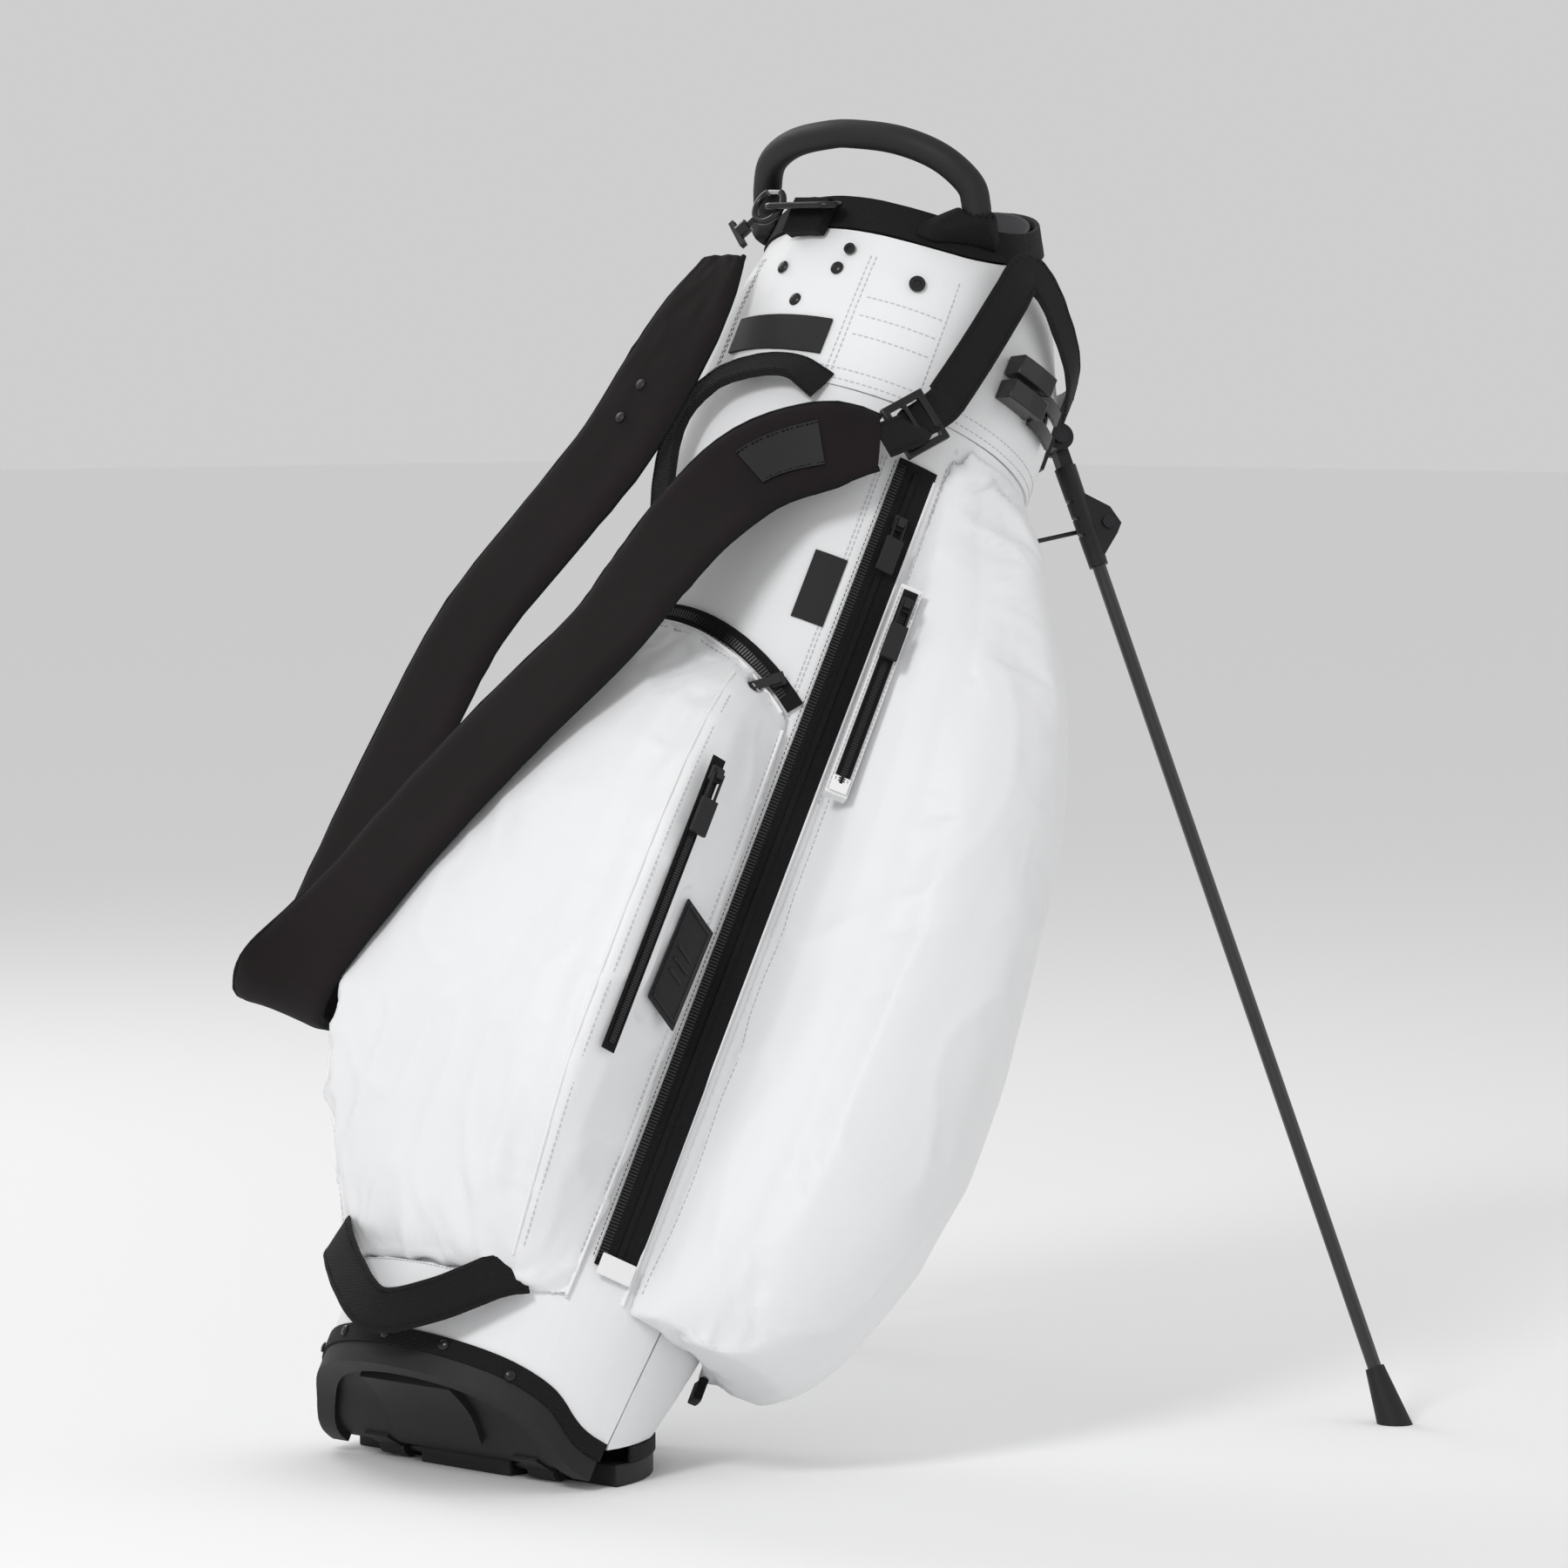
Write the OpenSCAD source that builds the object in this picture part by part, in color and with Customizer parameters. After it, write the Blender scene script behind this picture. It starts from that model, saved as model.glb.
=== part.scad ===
/* [Stance] */
// Lean of the bag towards its legs
lean_deg = 29; // [25:1:33]
// Swing of each leg from folded to deployed
swing_deg = 39.4; // [36:0.1:42]
// Direction of each leg's swing, from straight back
splay_deg = 34.8; // [30:0.1:40]

/* [Body] */
// Half width of the tube, front to back
tube_rx = 110; // [106:1:114]
// Half width of the tube, side to side
tube_ry = 122; // [118:1:126]
// Height of the cuff's lower edge
cuff_z = 742; // [736:1:748]
// Height of the rim on the tube's axis
rim_z = 917; // [912:1:922]
// Slope of the rim, high on the leg side
rim_slope = 0.49; // [0.46:0.01:0.52]

/* [Stand] */
// Leg pivot's distance behind the tube's axis
pivot_x = 118; // [117:1:120]
// Leg pivot's distance from the middle plane
pivot_y = 51; // [49:1:53]
// Leg pivot's height along the tube
pivot_z = 815; // [810:1:820]
// Radius of a leg tube
leg_r = 4.75; // [4.5:0.25:5]
// Lug screw's distance down the leg
lug_drop = 65; // [63:1:67]
// Lug screw's distance outwards from the leg
lug_out = 15; // [14:1:16]

/* [Base] */
// Height of the base hinge's axis above the floor
hinge_z = 8; // [8:0.5:9]
// Radius of the base hinge's barrel
barrel_r = 7.5; // [7:0.25:8]
// Thickness of the moulded base
shell_t = 14; // [13:0.5:15]
// Thickness of the heel's rear tab
tab_t = 6; // [5:0.5:6.5]
// Reach of the heel's rear tab from the hinge
tab_end = 146; // [143:1:148]

/* [Hidden] */

white = "whitesmoke";
black = "#1c1b1d";
grey = "#3a393c";
steel = "#8d8f92";
far = 400;
leg_len = (pivot_z * cos(lean_deg) - pivot_x * sin(lean_deg))
  / (cos(swing_deg) * cos(lean_deg) + sin(swing_deg) * cos(splay_deg) * sin(lean_deg));
hinge_local = [-hinge_z * sin(lean_deg), 0, hinge_z * cos(lean_deg)];

// A point of the tube's outline at angle a, moved outwards by off
function around(a, off) = [(tube_rx + off) * cos(a), (tube_ry + off) * sin(a)];
function unit(v) = v / norm(v);
function ring_of(rx, ry, n) = [for (i = [0 : n - 1]) [rx * cos(i * 360 / n), ry * sin(i * 360 / n)]];

// Everything drawn in the upright bag leans over about the base's middle line
module leaning() rotate([0, lean_deg, 0]) children();

module oval(off, h, n = 72) linear_extrude(h) polygon(ring_of(tube_rx + off, tube_ry + off, n));

module oval_ring(off_out, off_in, h) linear_extrude(h) difference() {
  polygon(ring_of(tube_rx + off_out, tube_ry + off_out, 72));
  polygon(ring_of(tube_rx + off_in, tube_ry + off_in, 72));
}

// A strip that lies on the tube between two angles and two heights
module wrap(a0, a1, z0, z1, off, t) {
  steps = max(2, ceil(abs(a1 - a0) / 5));
  path = [for (i = [0 : steps]) a0 + (a1 - a0) * i / steps];
  translate([0, 0, z0]) linear_extrude(z1 - z0) polygon(concat(
    [for (a = path) around(a, off)],
    [for (i = [steps : -1 : 0]) around(path[i], off + t)]));
}

// Rings of the top end: centre height, slope, centre x, half widths, sag at the sides
cuff_low = [cuff_z - 2, 0, 0, tube_rx + 1.6, tube_ry + 1.6, 0];
cuff_mid = [cuff_z + 33, 0.02, 0, tube_rx + 0.8, tube_ry + 0.8, 0];
cuff_bend = [cuff_z + 62, 0.08, -1, tube_rx, tube_ry, 2];
cuff_neck = [cuff_z + 106, 0.24, -14, tube_rx - 15, tube_ry - 8, 12];
collar_low = [rim_z - 25, rim_slope, -29, tube_rx - 33, tube_ry - 22, 24];
collar_rim = [rim_z - 3, rim_slope, -34, tube_rx - 41, tube_ry - 27, 24];
function sunk(l, by) = [l[0] + by, l[1], l[2], l[3], l[4], l[5]];

// Closed skin through such rings, each grown by off; its ends are made of level strips
module top_skin(levels, off, n = 60) {
  m = len(levels);
  pts = [for (l = levels) for (i = [0 : n - 1]) let (a = i * 360 / n)
    [l[2] + (l[3] + off) * cos(a), (l[4] + off) * sin(a), l[0] + l[1] * l[3] * cos(a) - l[5] * pow(sin(a), 2)]];
  t = (m - 1) * n;
  polyhedron(pts, concat(
    [for (i = [0 : m - 2]) for (k = [0 : n - 1]) [
      i * n + k, (i + 1) * n + k, (i + 1) * n + (k + 1) % n, i * n + (k + 1) % n]],
    [[0, 1, n - 1]], [for (k = [1 : n / 2 - 2]) [k, k + 1, n - k - 1, n - k]], [[n / 2 - 1, n / 2, n / 2 + 1]],
    [[t, t + n - 1, t + 1]], [for (k = [1 : n / 2 - 2]) [t + k, t + n - k, t + n - k - 1, t + k + 1]],
    [[t + n / 2 - 1, t + n / 2 + 1, t + n / 2]]), 10);
}

// A closed tube swept through points; each ring lies across the route
module sweep_round(path, r, sides = 12) {
  n = len(path);
  dirs = [for (i = [0 : n - 1]) unit(path[min(i + 1, n - 1)] - path[max(i - 1, 0)])];
  pts = [for (i = [0 : n - 1]) let (
      side = unit(cross(dirs[i], abs(dirs[i][2]) > 0.9 ? [1, 0.02, 0] : [0.02, 0.01, 1])),
      up = cross(dirs[i], side))
    for (k = [0 : sides - 1]) path[i] + r * (side * cos(k * 360 / sides) + up * sin(k * 360 / sides))];
  closed_skin(pts, n, sides);
}

// A flat strap swept through points; normals say which way its face looks, w may vary along it
module sweep_flat(path, normals, w, t) {
  n = len(path);
  dirs = [for (i = [0 : n - 1]) unit(path[min(i + 1, n - 1)] - path[max(i - 1, 0)])];
  pts = [for (i = [0 : n - 1]) let (
      side = unit(cross(dirs[i], normals[i])),
      up = cross(dirs[i], side),
      wide = is_list(w) ? w[i] : w)
    for (k = [[-1, -1], [1, -1], [1, 1], [-1, 1]]) path[i] + side * k[0] * wide / 2 + up * k[1] * t / 2];
  closed_skin(pts, n, 4);
}

module closed_skin(pts, n, sides) polyhedron(pts, concat(
  [[for (k = [0 : sides - 1]) k]],
  [for (i = [0 : n - 2]) for (k = [0 : sides - 1]) [
    i * sides + k, (i + 1) * sides + k, (i + 1) * sides + (k + 1) % sides, i * sides + (k + 1) % sides]],
  [[for (k = [sides - 1 : -1 : 0]) (n - 1) * sides + k]]), 10);

// Smooth curve through hand-set points
function bend(p, i, t) = let (a = p[max(i - 1, 0)], b = p[i], c = p[i + 1], d = p[min(i + 2, len(p) - 1)])
  0.5 * (2 * b + (c - a) * t + (2 * a - 5 * b + 4 * c - d) * t * t + (3 * b - a - 3 * c + d) * t * t * t);
function smooth(p, per) = concat(
  [for (i = [0 : len(p) - 2]) for (k = [0 : per - 1]) bend(p, i, k / per)], [p[len(p) - 1]]);

// Closed slab between an outer and an inner grid of points, m rows of w points each
module slab(outer, inner, m, w) {
  n = w - 1;
  base = m * w;
  t = (m - 1) * w;
  polyhedron(concat(outer, inner), concat(
    [for (j = [0 : m - 2]) for (i = [0 : n - 1]) [
      j * w + i, (j + 1) * w + i, (j + 1) * w + i + 1, j * w + i + 1]],
    [for (j = [0 : m - 2]) for (i = [0 : n - 1]) [
      base + j * w + i, base + j * w + i + 1, base + (j + 1) * w + i + 1, base + (j + 1) * w + i]],
    [for (j = [0 : m - 2]) [j * w, base + j * w, base + (j + 1) * w, (j + 1) * w]],
    [for (j = [0 : m - 2]) [j * w + n, (j + 1) * w + n, base + (j + 1) * w + n, base + j * w + n]],
    [for (i = [0 : n - 1]) [i, i + 1, base + i + 1, base + i]],
    [for (i = [0 : n - 1]) [t + i, base + t + i, base + t + i + 1, t + i + 1]]), 10);
}

// A stuffed pocket on the tube: plan gives each angle's share of the level's depth
function plan_angles(plan, n) = [for (i = [0 : n])
  plan[0][0] + (plan[len(plan) - 1][0] - plan[0][0]) * i / n];
module pocket(plan, levels, sag) {
  n = 24;
  arc = plan_angles(plan, n);
  middle = (arc[0] + arc[n]) / 2;
  half = arc[n] - middle;
  slab(
    [for (l = levels) for (a = arc) let (p = around(a, 1 + l[1] * lookup(a, plan)))
      [p[0], p[1], l[0] - sag * l[2] * pow((a - middle) / half, 2)]],
    [for (l = levels) for (a = arc) let (p = around(a, 0.4))
      [p[0], p[1], l[0] - sag * l[2] * pow((a - middle) / half, 2)]],
    len(levels), n + 1);
}

// ---- base: toe half in the leaning frame, heel half flat on the floor ----

// Side outline of the toe half, from hinge to toe, between two lifts
toe_curve = smooth([[-2, 0], [-24, 0.5], [-38, 5], [-55, 17], [-75, 23.5], [-95, 26], [-130, 27]], 4);
module toe_profile(low, high) rotate([90, 0, 0]) linear_extrude(far, center = true) polygon(concat(
  [for (p = toe_curve) [p[0], p[1] + low]],
  [for (i = [len(toe_curve) - 1 : -1 : 0]) [toe_curve[i][0], toe_curve[i][1] + high]]));

module toe_shell() color(grey) difference() {
  union() {
    leaning() difference() {
      intersection() {
        translate([0, 0, -10]) oval(0, 120);
        toe_profile(0, shell_t - 0.5);
      }
      // Dished underside with a raised panel left standing in it
      intersection() {
        difference() {
          translate([0, 0, -10]) oval(-15, 120);
          translate([-82, -42, -20]) cube([44, 84, 100]);
        }
        toe_profile(-10, 5);
      }
      translate([-14, -far / 2, -20]) cube([far, far, 60]);
    }
    // Knuckles of the toe half and the web that carries them
    for (y = [-70, 70]) translate([0, y + 12, hinge_z]) rotate([90, 0, 0])
      cylinder(r = barrel_r - 0.5, h = 24, $fn = 48);
    leaning() for (y = [-70, 70]) translate([-26, y - 11, 3.6]) cube([20, 22, 6.8]);
  }
  pin_space(3);
}

module barrel_cutouts(centres, w) for (y = centres) translate([0, y + w / 2, hinge_z])
  rotate([90, 0, 0]) cylinder(r = barrel_r + 0.8, h = w, $fn = 48);

module pin_space(r) translate([0, 90, hinge_z]) rotate([90, 0, 0]) cylinder(r = r, h = 180, $fn = 48);

module toe_binding() color(black) leaning() difference() {
  intersection() {
    translate([0, 0, -10]) oval_ring(1.5, -1, 120);
    toe_profile(shell_t - 0.2, shell_t + 12);
  }
  translate([-13, -far / 2, -20]) cube([far, far, 90]);
}

rivet_angles = [158, 180, 202, 225, 135];
module base_rivets() color(steel) leaning() for (a = rivet_angles) {
  p = around(a, 1.7);
  lift = a == 225 || a == 135 ? 27 : 33;
  translate([p[0], p[1], lift + shell_t]) rotate([0, 90, a]) rivet_head(3.6, 1.8);
}

// Domed fastener head, its flat back on the origin, looking along +Z
module rivet_head(r, h) rotate_extrude($fn = 24) polygon([
  [0, 0], [r, 0], [r, h * 0.35], [r * 0.8, h * 0.75], [r * 0.4, h], [0, h]]);

module base_hinge_pin() color(steel) translate([0, 84, hinge_z]) rotate([90, 0, 0])
  cylinder(r = 3, h = 168, $fn = 48);

module heel_shell() color(grey) difference() {
  union() {
    difference() {
      intersection() {
        oval(0, shell_t);
        translate([11, -far / 2, -1]) cube([far, far, 40]);
      }
      // Recess on top, under the clubs' floor
      translate([0, 0, shell_t - 4]) intersection() {
        oval(-10, 20);
        translate([22, -far / 2, -1]) cube([far, far, 40]);
      }
    }
    translate([0, 42, hinge_z]) rotate([90, 0, 0]) cylinder(r = barrel_r - 0.5, h = 84, $fn = 48);
    translate([-6.5, -42, 0]) cube([18, 84, hinge_z]);
    // Rear tab that lifts the actuator rod
    translate([96, -16, 0]) cube([tab_end - 96 - 8, 32, tab_t]);
    for (y = [-8, 8]) translate([tab_end - 8, y, 0]) cylinder(r = 8, h = tab_t, $fn = 48);
    translate([tab_end - 8, -8, 0]) cube([8, 16, tab_t]);
  }
  barrel_cutouts([-70, 70], 26);
  pin_space(3.05);
}

module heel_binding() color(black) translate([0, 0, shell_t + 0.2]) intersection() {
  oval_ring(1.5, -1, 10);
  translate([24, -far / 2, -1]) cube([far, far, 40]);
}

// Soft heel wall: from the tube down to the heel half's band
gusset_top = 141;
gusset_low = shell_t + 10.9;
function to_local(p) = [p[0] * cos(lean_deg) - p[2] * sin(lean_deg), p[1],
  p[0] * sin(lean_deg) + p[2] * cos(lean_deg)];
function gusset_point(a, t, off) = let (
    low = to_local([(tube_rx + 0.4 + off) * cos(a), (tube_ry + 0.4 + off) * sin(a), gusset_low]),
    high = [(tube_rx + off) * cos(a), (tube_ry + off) * sin(a), gusset_top])
  low * (1 - t) + high * t + [4 * sin(180 * t) * cos(a), 0, 0];
module heel_gusset() color(white) leaning() {
  arc = [for (i = [0 : 30]) -89 + 178 * i / 30];
  steps = [for (i = [0 : 6]) i / 6];
  slab([for (t = steps) for (a = arc) gusset_point(a, t, 0)],
    [for (t = steps) for (a = arc) gusset_point(a, t, -2)], 7, 31);
}

// ---- tube and what stands inside it ----

// Everything of the tube that the heel wall takes over
module heel_side(gap) rotate([90, 0, 0]) linear_extrude(far, center = true) polygon([
  [-11.4 - gap, -far], [-11.4 - gap, 22], [1 - gap, gusset_top + gap], [far, gusset_top + gap], [far, -far]]);

module body_tube() color(white) leaning() difference() {
  translate([0, 0, 20]) oval_ring(0, -2, cuff_z - 22.4);
  toe_profile(-60, shell_t + 12.4);
  heel_side(0.3);
}

stay_angles = [-35, 35, 0];
module spine_stays() color(steel) leaning() for (a = stay_angles) {
  p = around(a, -7);
  translate([p[0], p[1], 150]) cylinder(r = 3, h = 650, $fn = 24);
}

// Fabric panels that keep the clubs apart, full length
cross_x = -20;
module club_dividers() color("dimgray") leaning() intersection() {
  union() {
    translate([0, 0, 124]) oval(-11, 606);
    top_skin([sunk(cuff_mid, -70), cuff_mid, cuff_bend, cuff_neck, sunk(collar_low, -30)], -11);
  }
  union() {
    translate([cross_x - 1, -far / 2, 0]) cube([2, far, far * 3]);
    translate([-far / 2, -1, 0]) cube([far, 2, far * 3]);
  }
}

// Moulded collar: a ring inside the binding with the club dividers across it
module divider_top() color(black) leaning() {
  intersection() {
    top_skin([sunk(collar_low, -22), sunk(collar_rim, -14)], -7);
    union() {
      translate([-far, -4, 700]) cube([2 * far, 8, 300]);
      translate([cross_x - 4, -far, 700]) cube([8, 2 * far, 300]);
    }
  }
  difference() {
    top_skin([sunk(collar_low, -24), sunk(collar_rim, -3)], -4.6);
    top_skin([sunk(collar_low, -40), sunk(collar_rim, 10)], -8.6);
  }
}

module collar_binding() color(black) leaning() difference() {
  top_skin([sunk(collar_low, 1.6), collar_rim], 1.4);
  top_skin([sunk(collar_low, -10), sunk(collar_rim, 10)], -4.2);
}

// Gusseted ears that hold the handle's ends on the collar
module collar_ears() color(black) leaning() difference() {
  for (side = [-1, 1]) hull() {
    translate([-66, side * 97, 876]) rotate([0, -8, 0]) cylinder(r = 12, h = 12, $fn = 24);
    translate([-44, side * 92, 872]) cube([18, 8, 8], center = true);
    translate([-84, side * 72, 862]) cube([8, 18, 8], center = true);
  }
  top_skin([sunk(collar_low, -30), collar_low, collar_rim, sunk(collar_rim, 30)], 1.8);
  for (side = [-1, 1]) translate([-66, side * 97, 881]) rotate([0, -33.7, 0]) translate([0, 0, -0.4])
    cylinder(r = 10.9, h = 30, $fn = 32);
}

handle_half = [[-66, 97, 881], [-72, 97, 890], [-82, 94, 901], [-101, 77, 911], [-115, 44, 917], [-121, 0, 919]];
module top_handle() color(grey) leaning() {
  half = smooth(handle_half, 4);
  last = len(half) - 1;
  sweep_round(concat(half, [for (i = [last - 1 : -1 : 0]) [half[i][0], -half[i][1], half[i][2]]]), 10, 16);
}

// White cuff: upright at the front, sloping in at the leg side up to the collar
module cuff_panel() color(white) leaning() difference() {
  top_skin([cuff_low, cuff_mid, cuff_bend, cuff_neck, collar_low], 0);
  top_skin([sunk(cuff_low, -30), cuff_low, cuff_mid, cuff_bend, cuff_neck, collar_low, sunk(collar_rim, 40)], -2.4);
}

cuff_marks = [[171, 823], [194, 823], [183, 797]];
function cuff_off(z) = lookup(z - cuff_z, [[-2, 1.6], [33, 0.8], [62, 0.3], [106, -1.5], [116, -2.5]]);
module on_cuff(a, z, out) {
  p = around(a, cuff_off(z) + out);
  translate([p[0], p[1], z]) rotate([0, 90, a]) children();
}

module cuff_patch() color(black) leaning() {
  steps = 8;
  z = 772;
  pts = [for (i = [0 : steps]) around(160 + 40 * i / steps, 1.3)];
  out = [for (i = [0 : steps]) around(160 + 40 * i / steps, 3.1)];
  translate([0, 0, z - 13]) linear_extrude(26) polygon(concat(pts, [for (i = [steps : -1 : 0]) out[i]]));
}

snap_marks = [[222, 824, 5.5], [-72, 785, 5.5], [196, 838, 4]];
module cuff_studs() color(grey) leaning() {
  for (m = cuff_marks) on_cuff(m[0], m[1], 0.5) rivet_head(4.6, 2.2);
  for (m = snap_marks) on_cuff(m[0], m[1], 0.6) difference() {
    cylinder(r = m[2], h = 2.4, $fn = 32);
    translate([0, 0, 1.2]) cylinder(r = m[2] * 0.45, h = 3, $fn = 24);
  }
}

// ---- pockets and their fasteners ----

garment_plan = [for (i = [0 : 24]) [-107 + 70 * i / 24, pow(sin(180 * i / 24), 0.62)]];
garment_levels = [[106, 66, 0], [112, 76, 0], [124, 88, 0], [145, 101, 0], [173, 112, 0], [215, 123, 0],
  [265, 131, 0], [354, 129, 0], [430, 121, 0], [505, 109, 0], [545, 98, 0], [585, 85, 0], [625, 66, 0],
  [660, 46, 0], [690, 27, 0], [717, 11, 0], [734, 3, 0]];
module garment_pocket() color(white) leaning() difference() {
  pocket(garment_plan, garment_levels, 0);
  chest_place() translate([-12, -8, -4]) cube([40, 16, chest_len + 8]);
}

ball_plan = [[124, 0.01], [134, 0.46], [140, 0.9], [143.5, 1], [148, 0.97], [156, 0.82], [168, 0.71], [180, 0.67],
  [192, 0.71], [204, 0.82], [212, 0.97], [216.5, 1], [220, 0.9], [226, 0.46], [235.6, 0.01]];
ball_levels = [[98, 8, 0], [112, 17, 0], [150, 43, 0], [192, 66, 0], [225, 78, 0], [255, 84, 0], [330, 85, 0],
  [400, 82, 0.2], [450, 74, 0.45], [490, 60, 0.65], [520, 42, 0.8], [540, 24, 0.92], [554, 6, 1]];
module ball_pocket() color(white) leaning() difference() {
  pocket(ball_plan, ball_levels, 46);
  valuables_place() translate([-1.6, -8, -4]) cube([40, 16, valuables_len + 8]);
  badge_place() translate([-0.6, -20, -16]) cube([40, 40, 92]);
  ball_slider_place() translate([0, -5.2, -21]) cube([40, 10.4, 27]);
  sweep_flat(smooth(base_handle_path, 3), smooth(base_handle_faces, 3), 31, 3.4);
}

accessory_plan = [for (i = [0 : 16]) [48 + 60 * i / 16, pow(sin(180 * i / 16), 0.6)]];
accessory_levels = [[160, 4, 0], [190, 22, 0], [260, 34, 0], [360, 34, 0], [430, 22, 0], [460, 4, 0]];
module accessory_pocket() color(white) leaning() pocket(accessory_plan, accessory_levels, 0);

// Straight zips: flat tape with a raised row of teeth
module zip_tape(a0, a1, z0, z1) {
  mid = (a0 + a1) / 2;
  wrap(a0, a1, z0, z1, 0.4, 1.2);
  wrap(mid - 1, mid + 1, z0 + 6, z1 - 6, 1.8, 1);
}
garment_zip_a = -116;
module garment_zip() color(black) leaning() zip_tape(garment_zip_a - 7, garment_zip_a + 7, 128, 706);
module short_zips() color(black) leaning() {
  valuables_place() flat_zip(valuables_len);
  chest_place() flat_zip(chest_len);
}

// The short zips and the badge stand on their pockets' flanks
valuables_len = 205;
module valuables_place() translate([-137, -126.8, 243]) rotate([0, 0, -102]) children();
chest_len = 146;
module chest_place() translate([-49, -147, 470]) rotate([0, 0, -128]) rotate([0, -3, 0]) children();
module badge_place() translate([-97, -116.8, 292]) rotate([0, 0, -102]) children();

// A flat zip from the origin upwards, its face looking along +X
module flat_zip(length) {
  translate([0, -5, 0]) cube([1.2, 10, length]);
  translate([1.2, -1.1, 4]) cube([1, 2.2, length - 8]);
}

// Slider with a bridge for its pull: face along +X, pin along Y
module slider(w) {
  translate([0.4, -w / 2, -5]) cube([3, w, 10]);
  difference() {
    translate([3.4, -2.4, -3]) cube([4, 4.8, 6]);
    translate([5.4, 4, 0]) rotate([90, 0, 0]) cylinder(r = 1.1, h = 8, $fn = 24);
  }
}
// Pull: a pin in the bridge, a cord loop and a moulded tab
module pull(drop) translate([5.4, 0, 0]) {
  rotate([90, 0, 0]) translate([0, 0, -4.2]) cylinder(r = 1.0, h = 8.4, $fn = 24);
  for (y = [-4.2, 3]) translate([-0.8, y, -drop]) cube([1.8, 1.2, drop]);
  translate([-0.9, -6, -drop - 24]) linear_extrude(24) polygon([
    [0, 0.5], [0.4, 0], [3, 0], [3.4, 0.5], [3.4, 11.5], [3, 12], [0.4, 12], [0, 11.5]]);
}

module at_garment(z) { p = around(garment_zip_a, 2.6); translate([p[0], p[1], z]) rotate([0, 0, garment_zip_a]) children(); }
module garment_zip_slider() color(black) leaning() at_garment(662) slider(9);
module garment_zip_pull() color(grey) leaning() at_garment(662) pull(12);
module chest_zip_slider() color(black) leaning() chest_place() translate([2, 0, chest_len - 12]) slider(8);
module chest_zip_pull() color(grey) leaning() chest_place() translate([2, 0, chest_len - 12]) pull(16);
module valuables_zip_slider() color(black) leaning() valuables_place()
  translate([2, 0, valuables_len - 12]) slider(8);
module valuables_zip_pull() color(grey) leaning() valuables_place()
  translate([2, 0, valuables_len - 12]) pull(18);

// The ball pocket's arched zip, on the tube along the pocket's top edge
function ball_arch(a) = 562 - 46 * pow((a - 179.8) / 55.8, 2);
module ball_zip() color(black) leaning() {
  path = [for (a = [126 : 4 : 234]) let (p = around(a, 1.9)) [p[0], p[1], ball_arch(a)]];
  sweep_flat(path, [for (a = [126 : 4 : 234]) [cos(a), sin(a), 0]], 12, 2);
}
module ball_slider_place() {
  p = around(225.5, 3.2);
  translate([p[0], p[1], ball_arch(225.5)]) rotate([0, 0, 225.5]) rotate([-52, 0, 0]) children();
}
module ball_zip_slider() color(black) leaning() ball_slider_place() {
  translate([0.4, -4.5, -5]) cube([3, 9, 10]);
  translate([3, -3, -20]) cube([2.4, 6, 22]);
}

module badges() color(black) leaning() {
  badge_place() rotate([90, 0, 90]) linear_extrude(2) polygon([[-13, 0], [13, -12], [15, 58], [-11, 70]]);
  wrap(222, 233, 577, 626, 0.4, 0.8);
}

// ---- handles of webbing ----

grab_path = [[-104, -54, 736], [-115, -34, 744], [-122, -8, 741], [-124, 20, 731], [-124, 39, 712],
  [-123, 45, 688], [-121, 41, 660], [-118, 33, 634], [-113.6, 26, 612]];
grab_faces = [[-0.85, -0.45, 0.3], [-0.75, -0.3, 0.5], [-0.85, -0.05, 0.4], [-0.9, 0.15, 0.3], [-0.93, 0.25, 0.1],
  [-0.95, 0.3, 0], [-0.96, 0.27, -0.1], [-0.95, 0.22, -0.15], [-0.97, 0.2, -0.1]];
module grab_handle() color(black) leaning() difference() {
  sweep_flat(smooth(grab_path, 3), smooth(grab_faces, 3), 24, 5);
  translate([0, 0, 500]) oval(0.4, 400);
  translate([0, 0, cuff_z - 5]) oval(2.2, 160);
}

base_handle_path = [[-84, 88, 98], [-100, 84, 108], [-122, 66, 102], [-134, 30, 76], [-136, -10, 54],
  [-126, -46, 68], [-106, -72, 96], [-92, -79, 106]];
base_handle_faces = [[-0.5, 0.8, 0.2], [-0.7, 0.6, 0.2], [-0.85, 0.4, 0.1], [-0.98, 0.15, 0],
  [-0.98, -0.1, -0.1], [-0.9, -0.4, 0], [-0.8, -0.6, 0.1], [-0.75, -0.65, 0.1]];
module base_handle() color(black) leaning()
  sweep_flat(smooth(base_handle_path, 3), smooth(base_handle_faces, 3), 30, 2);

module base_handle_pad() color(white) leaning() wrap(151, 207, 74, 96, 0.5, 7);

module rear_pull_loop() color(black) leaning()
  wrap(-48, -36, 91, 105.5, 0.5, 6);

// ---- stand ----

module leg_place(side) leaning() translate([pivot_x, side * pivot_y, pivot_z])
  rotate([0, 0, side * splay_deg]) children();
module leg_swung(side) leg_place(side) rotate([0, -swing_deg, 0]) children();

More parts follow.
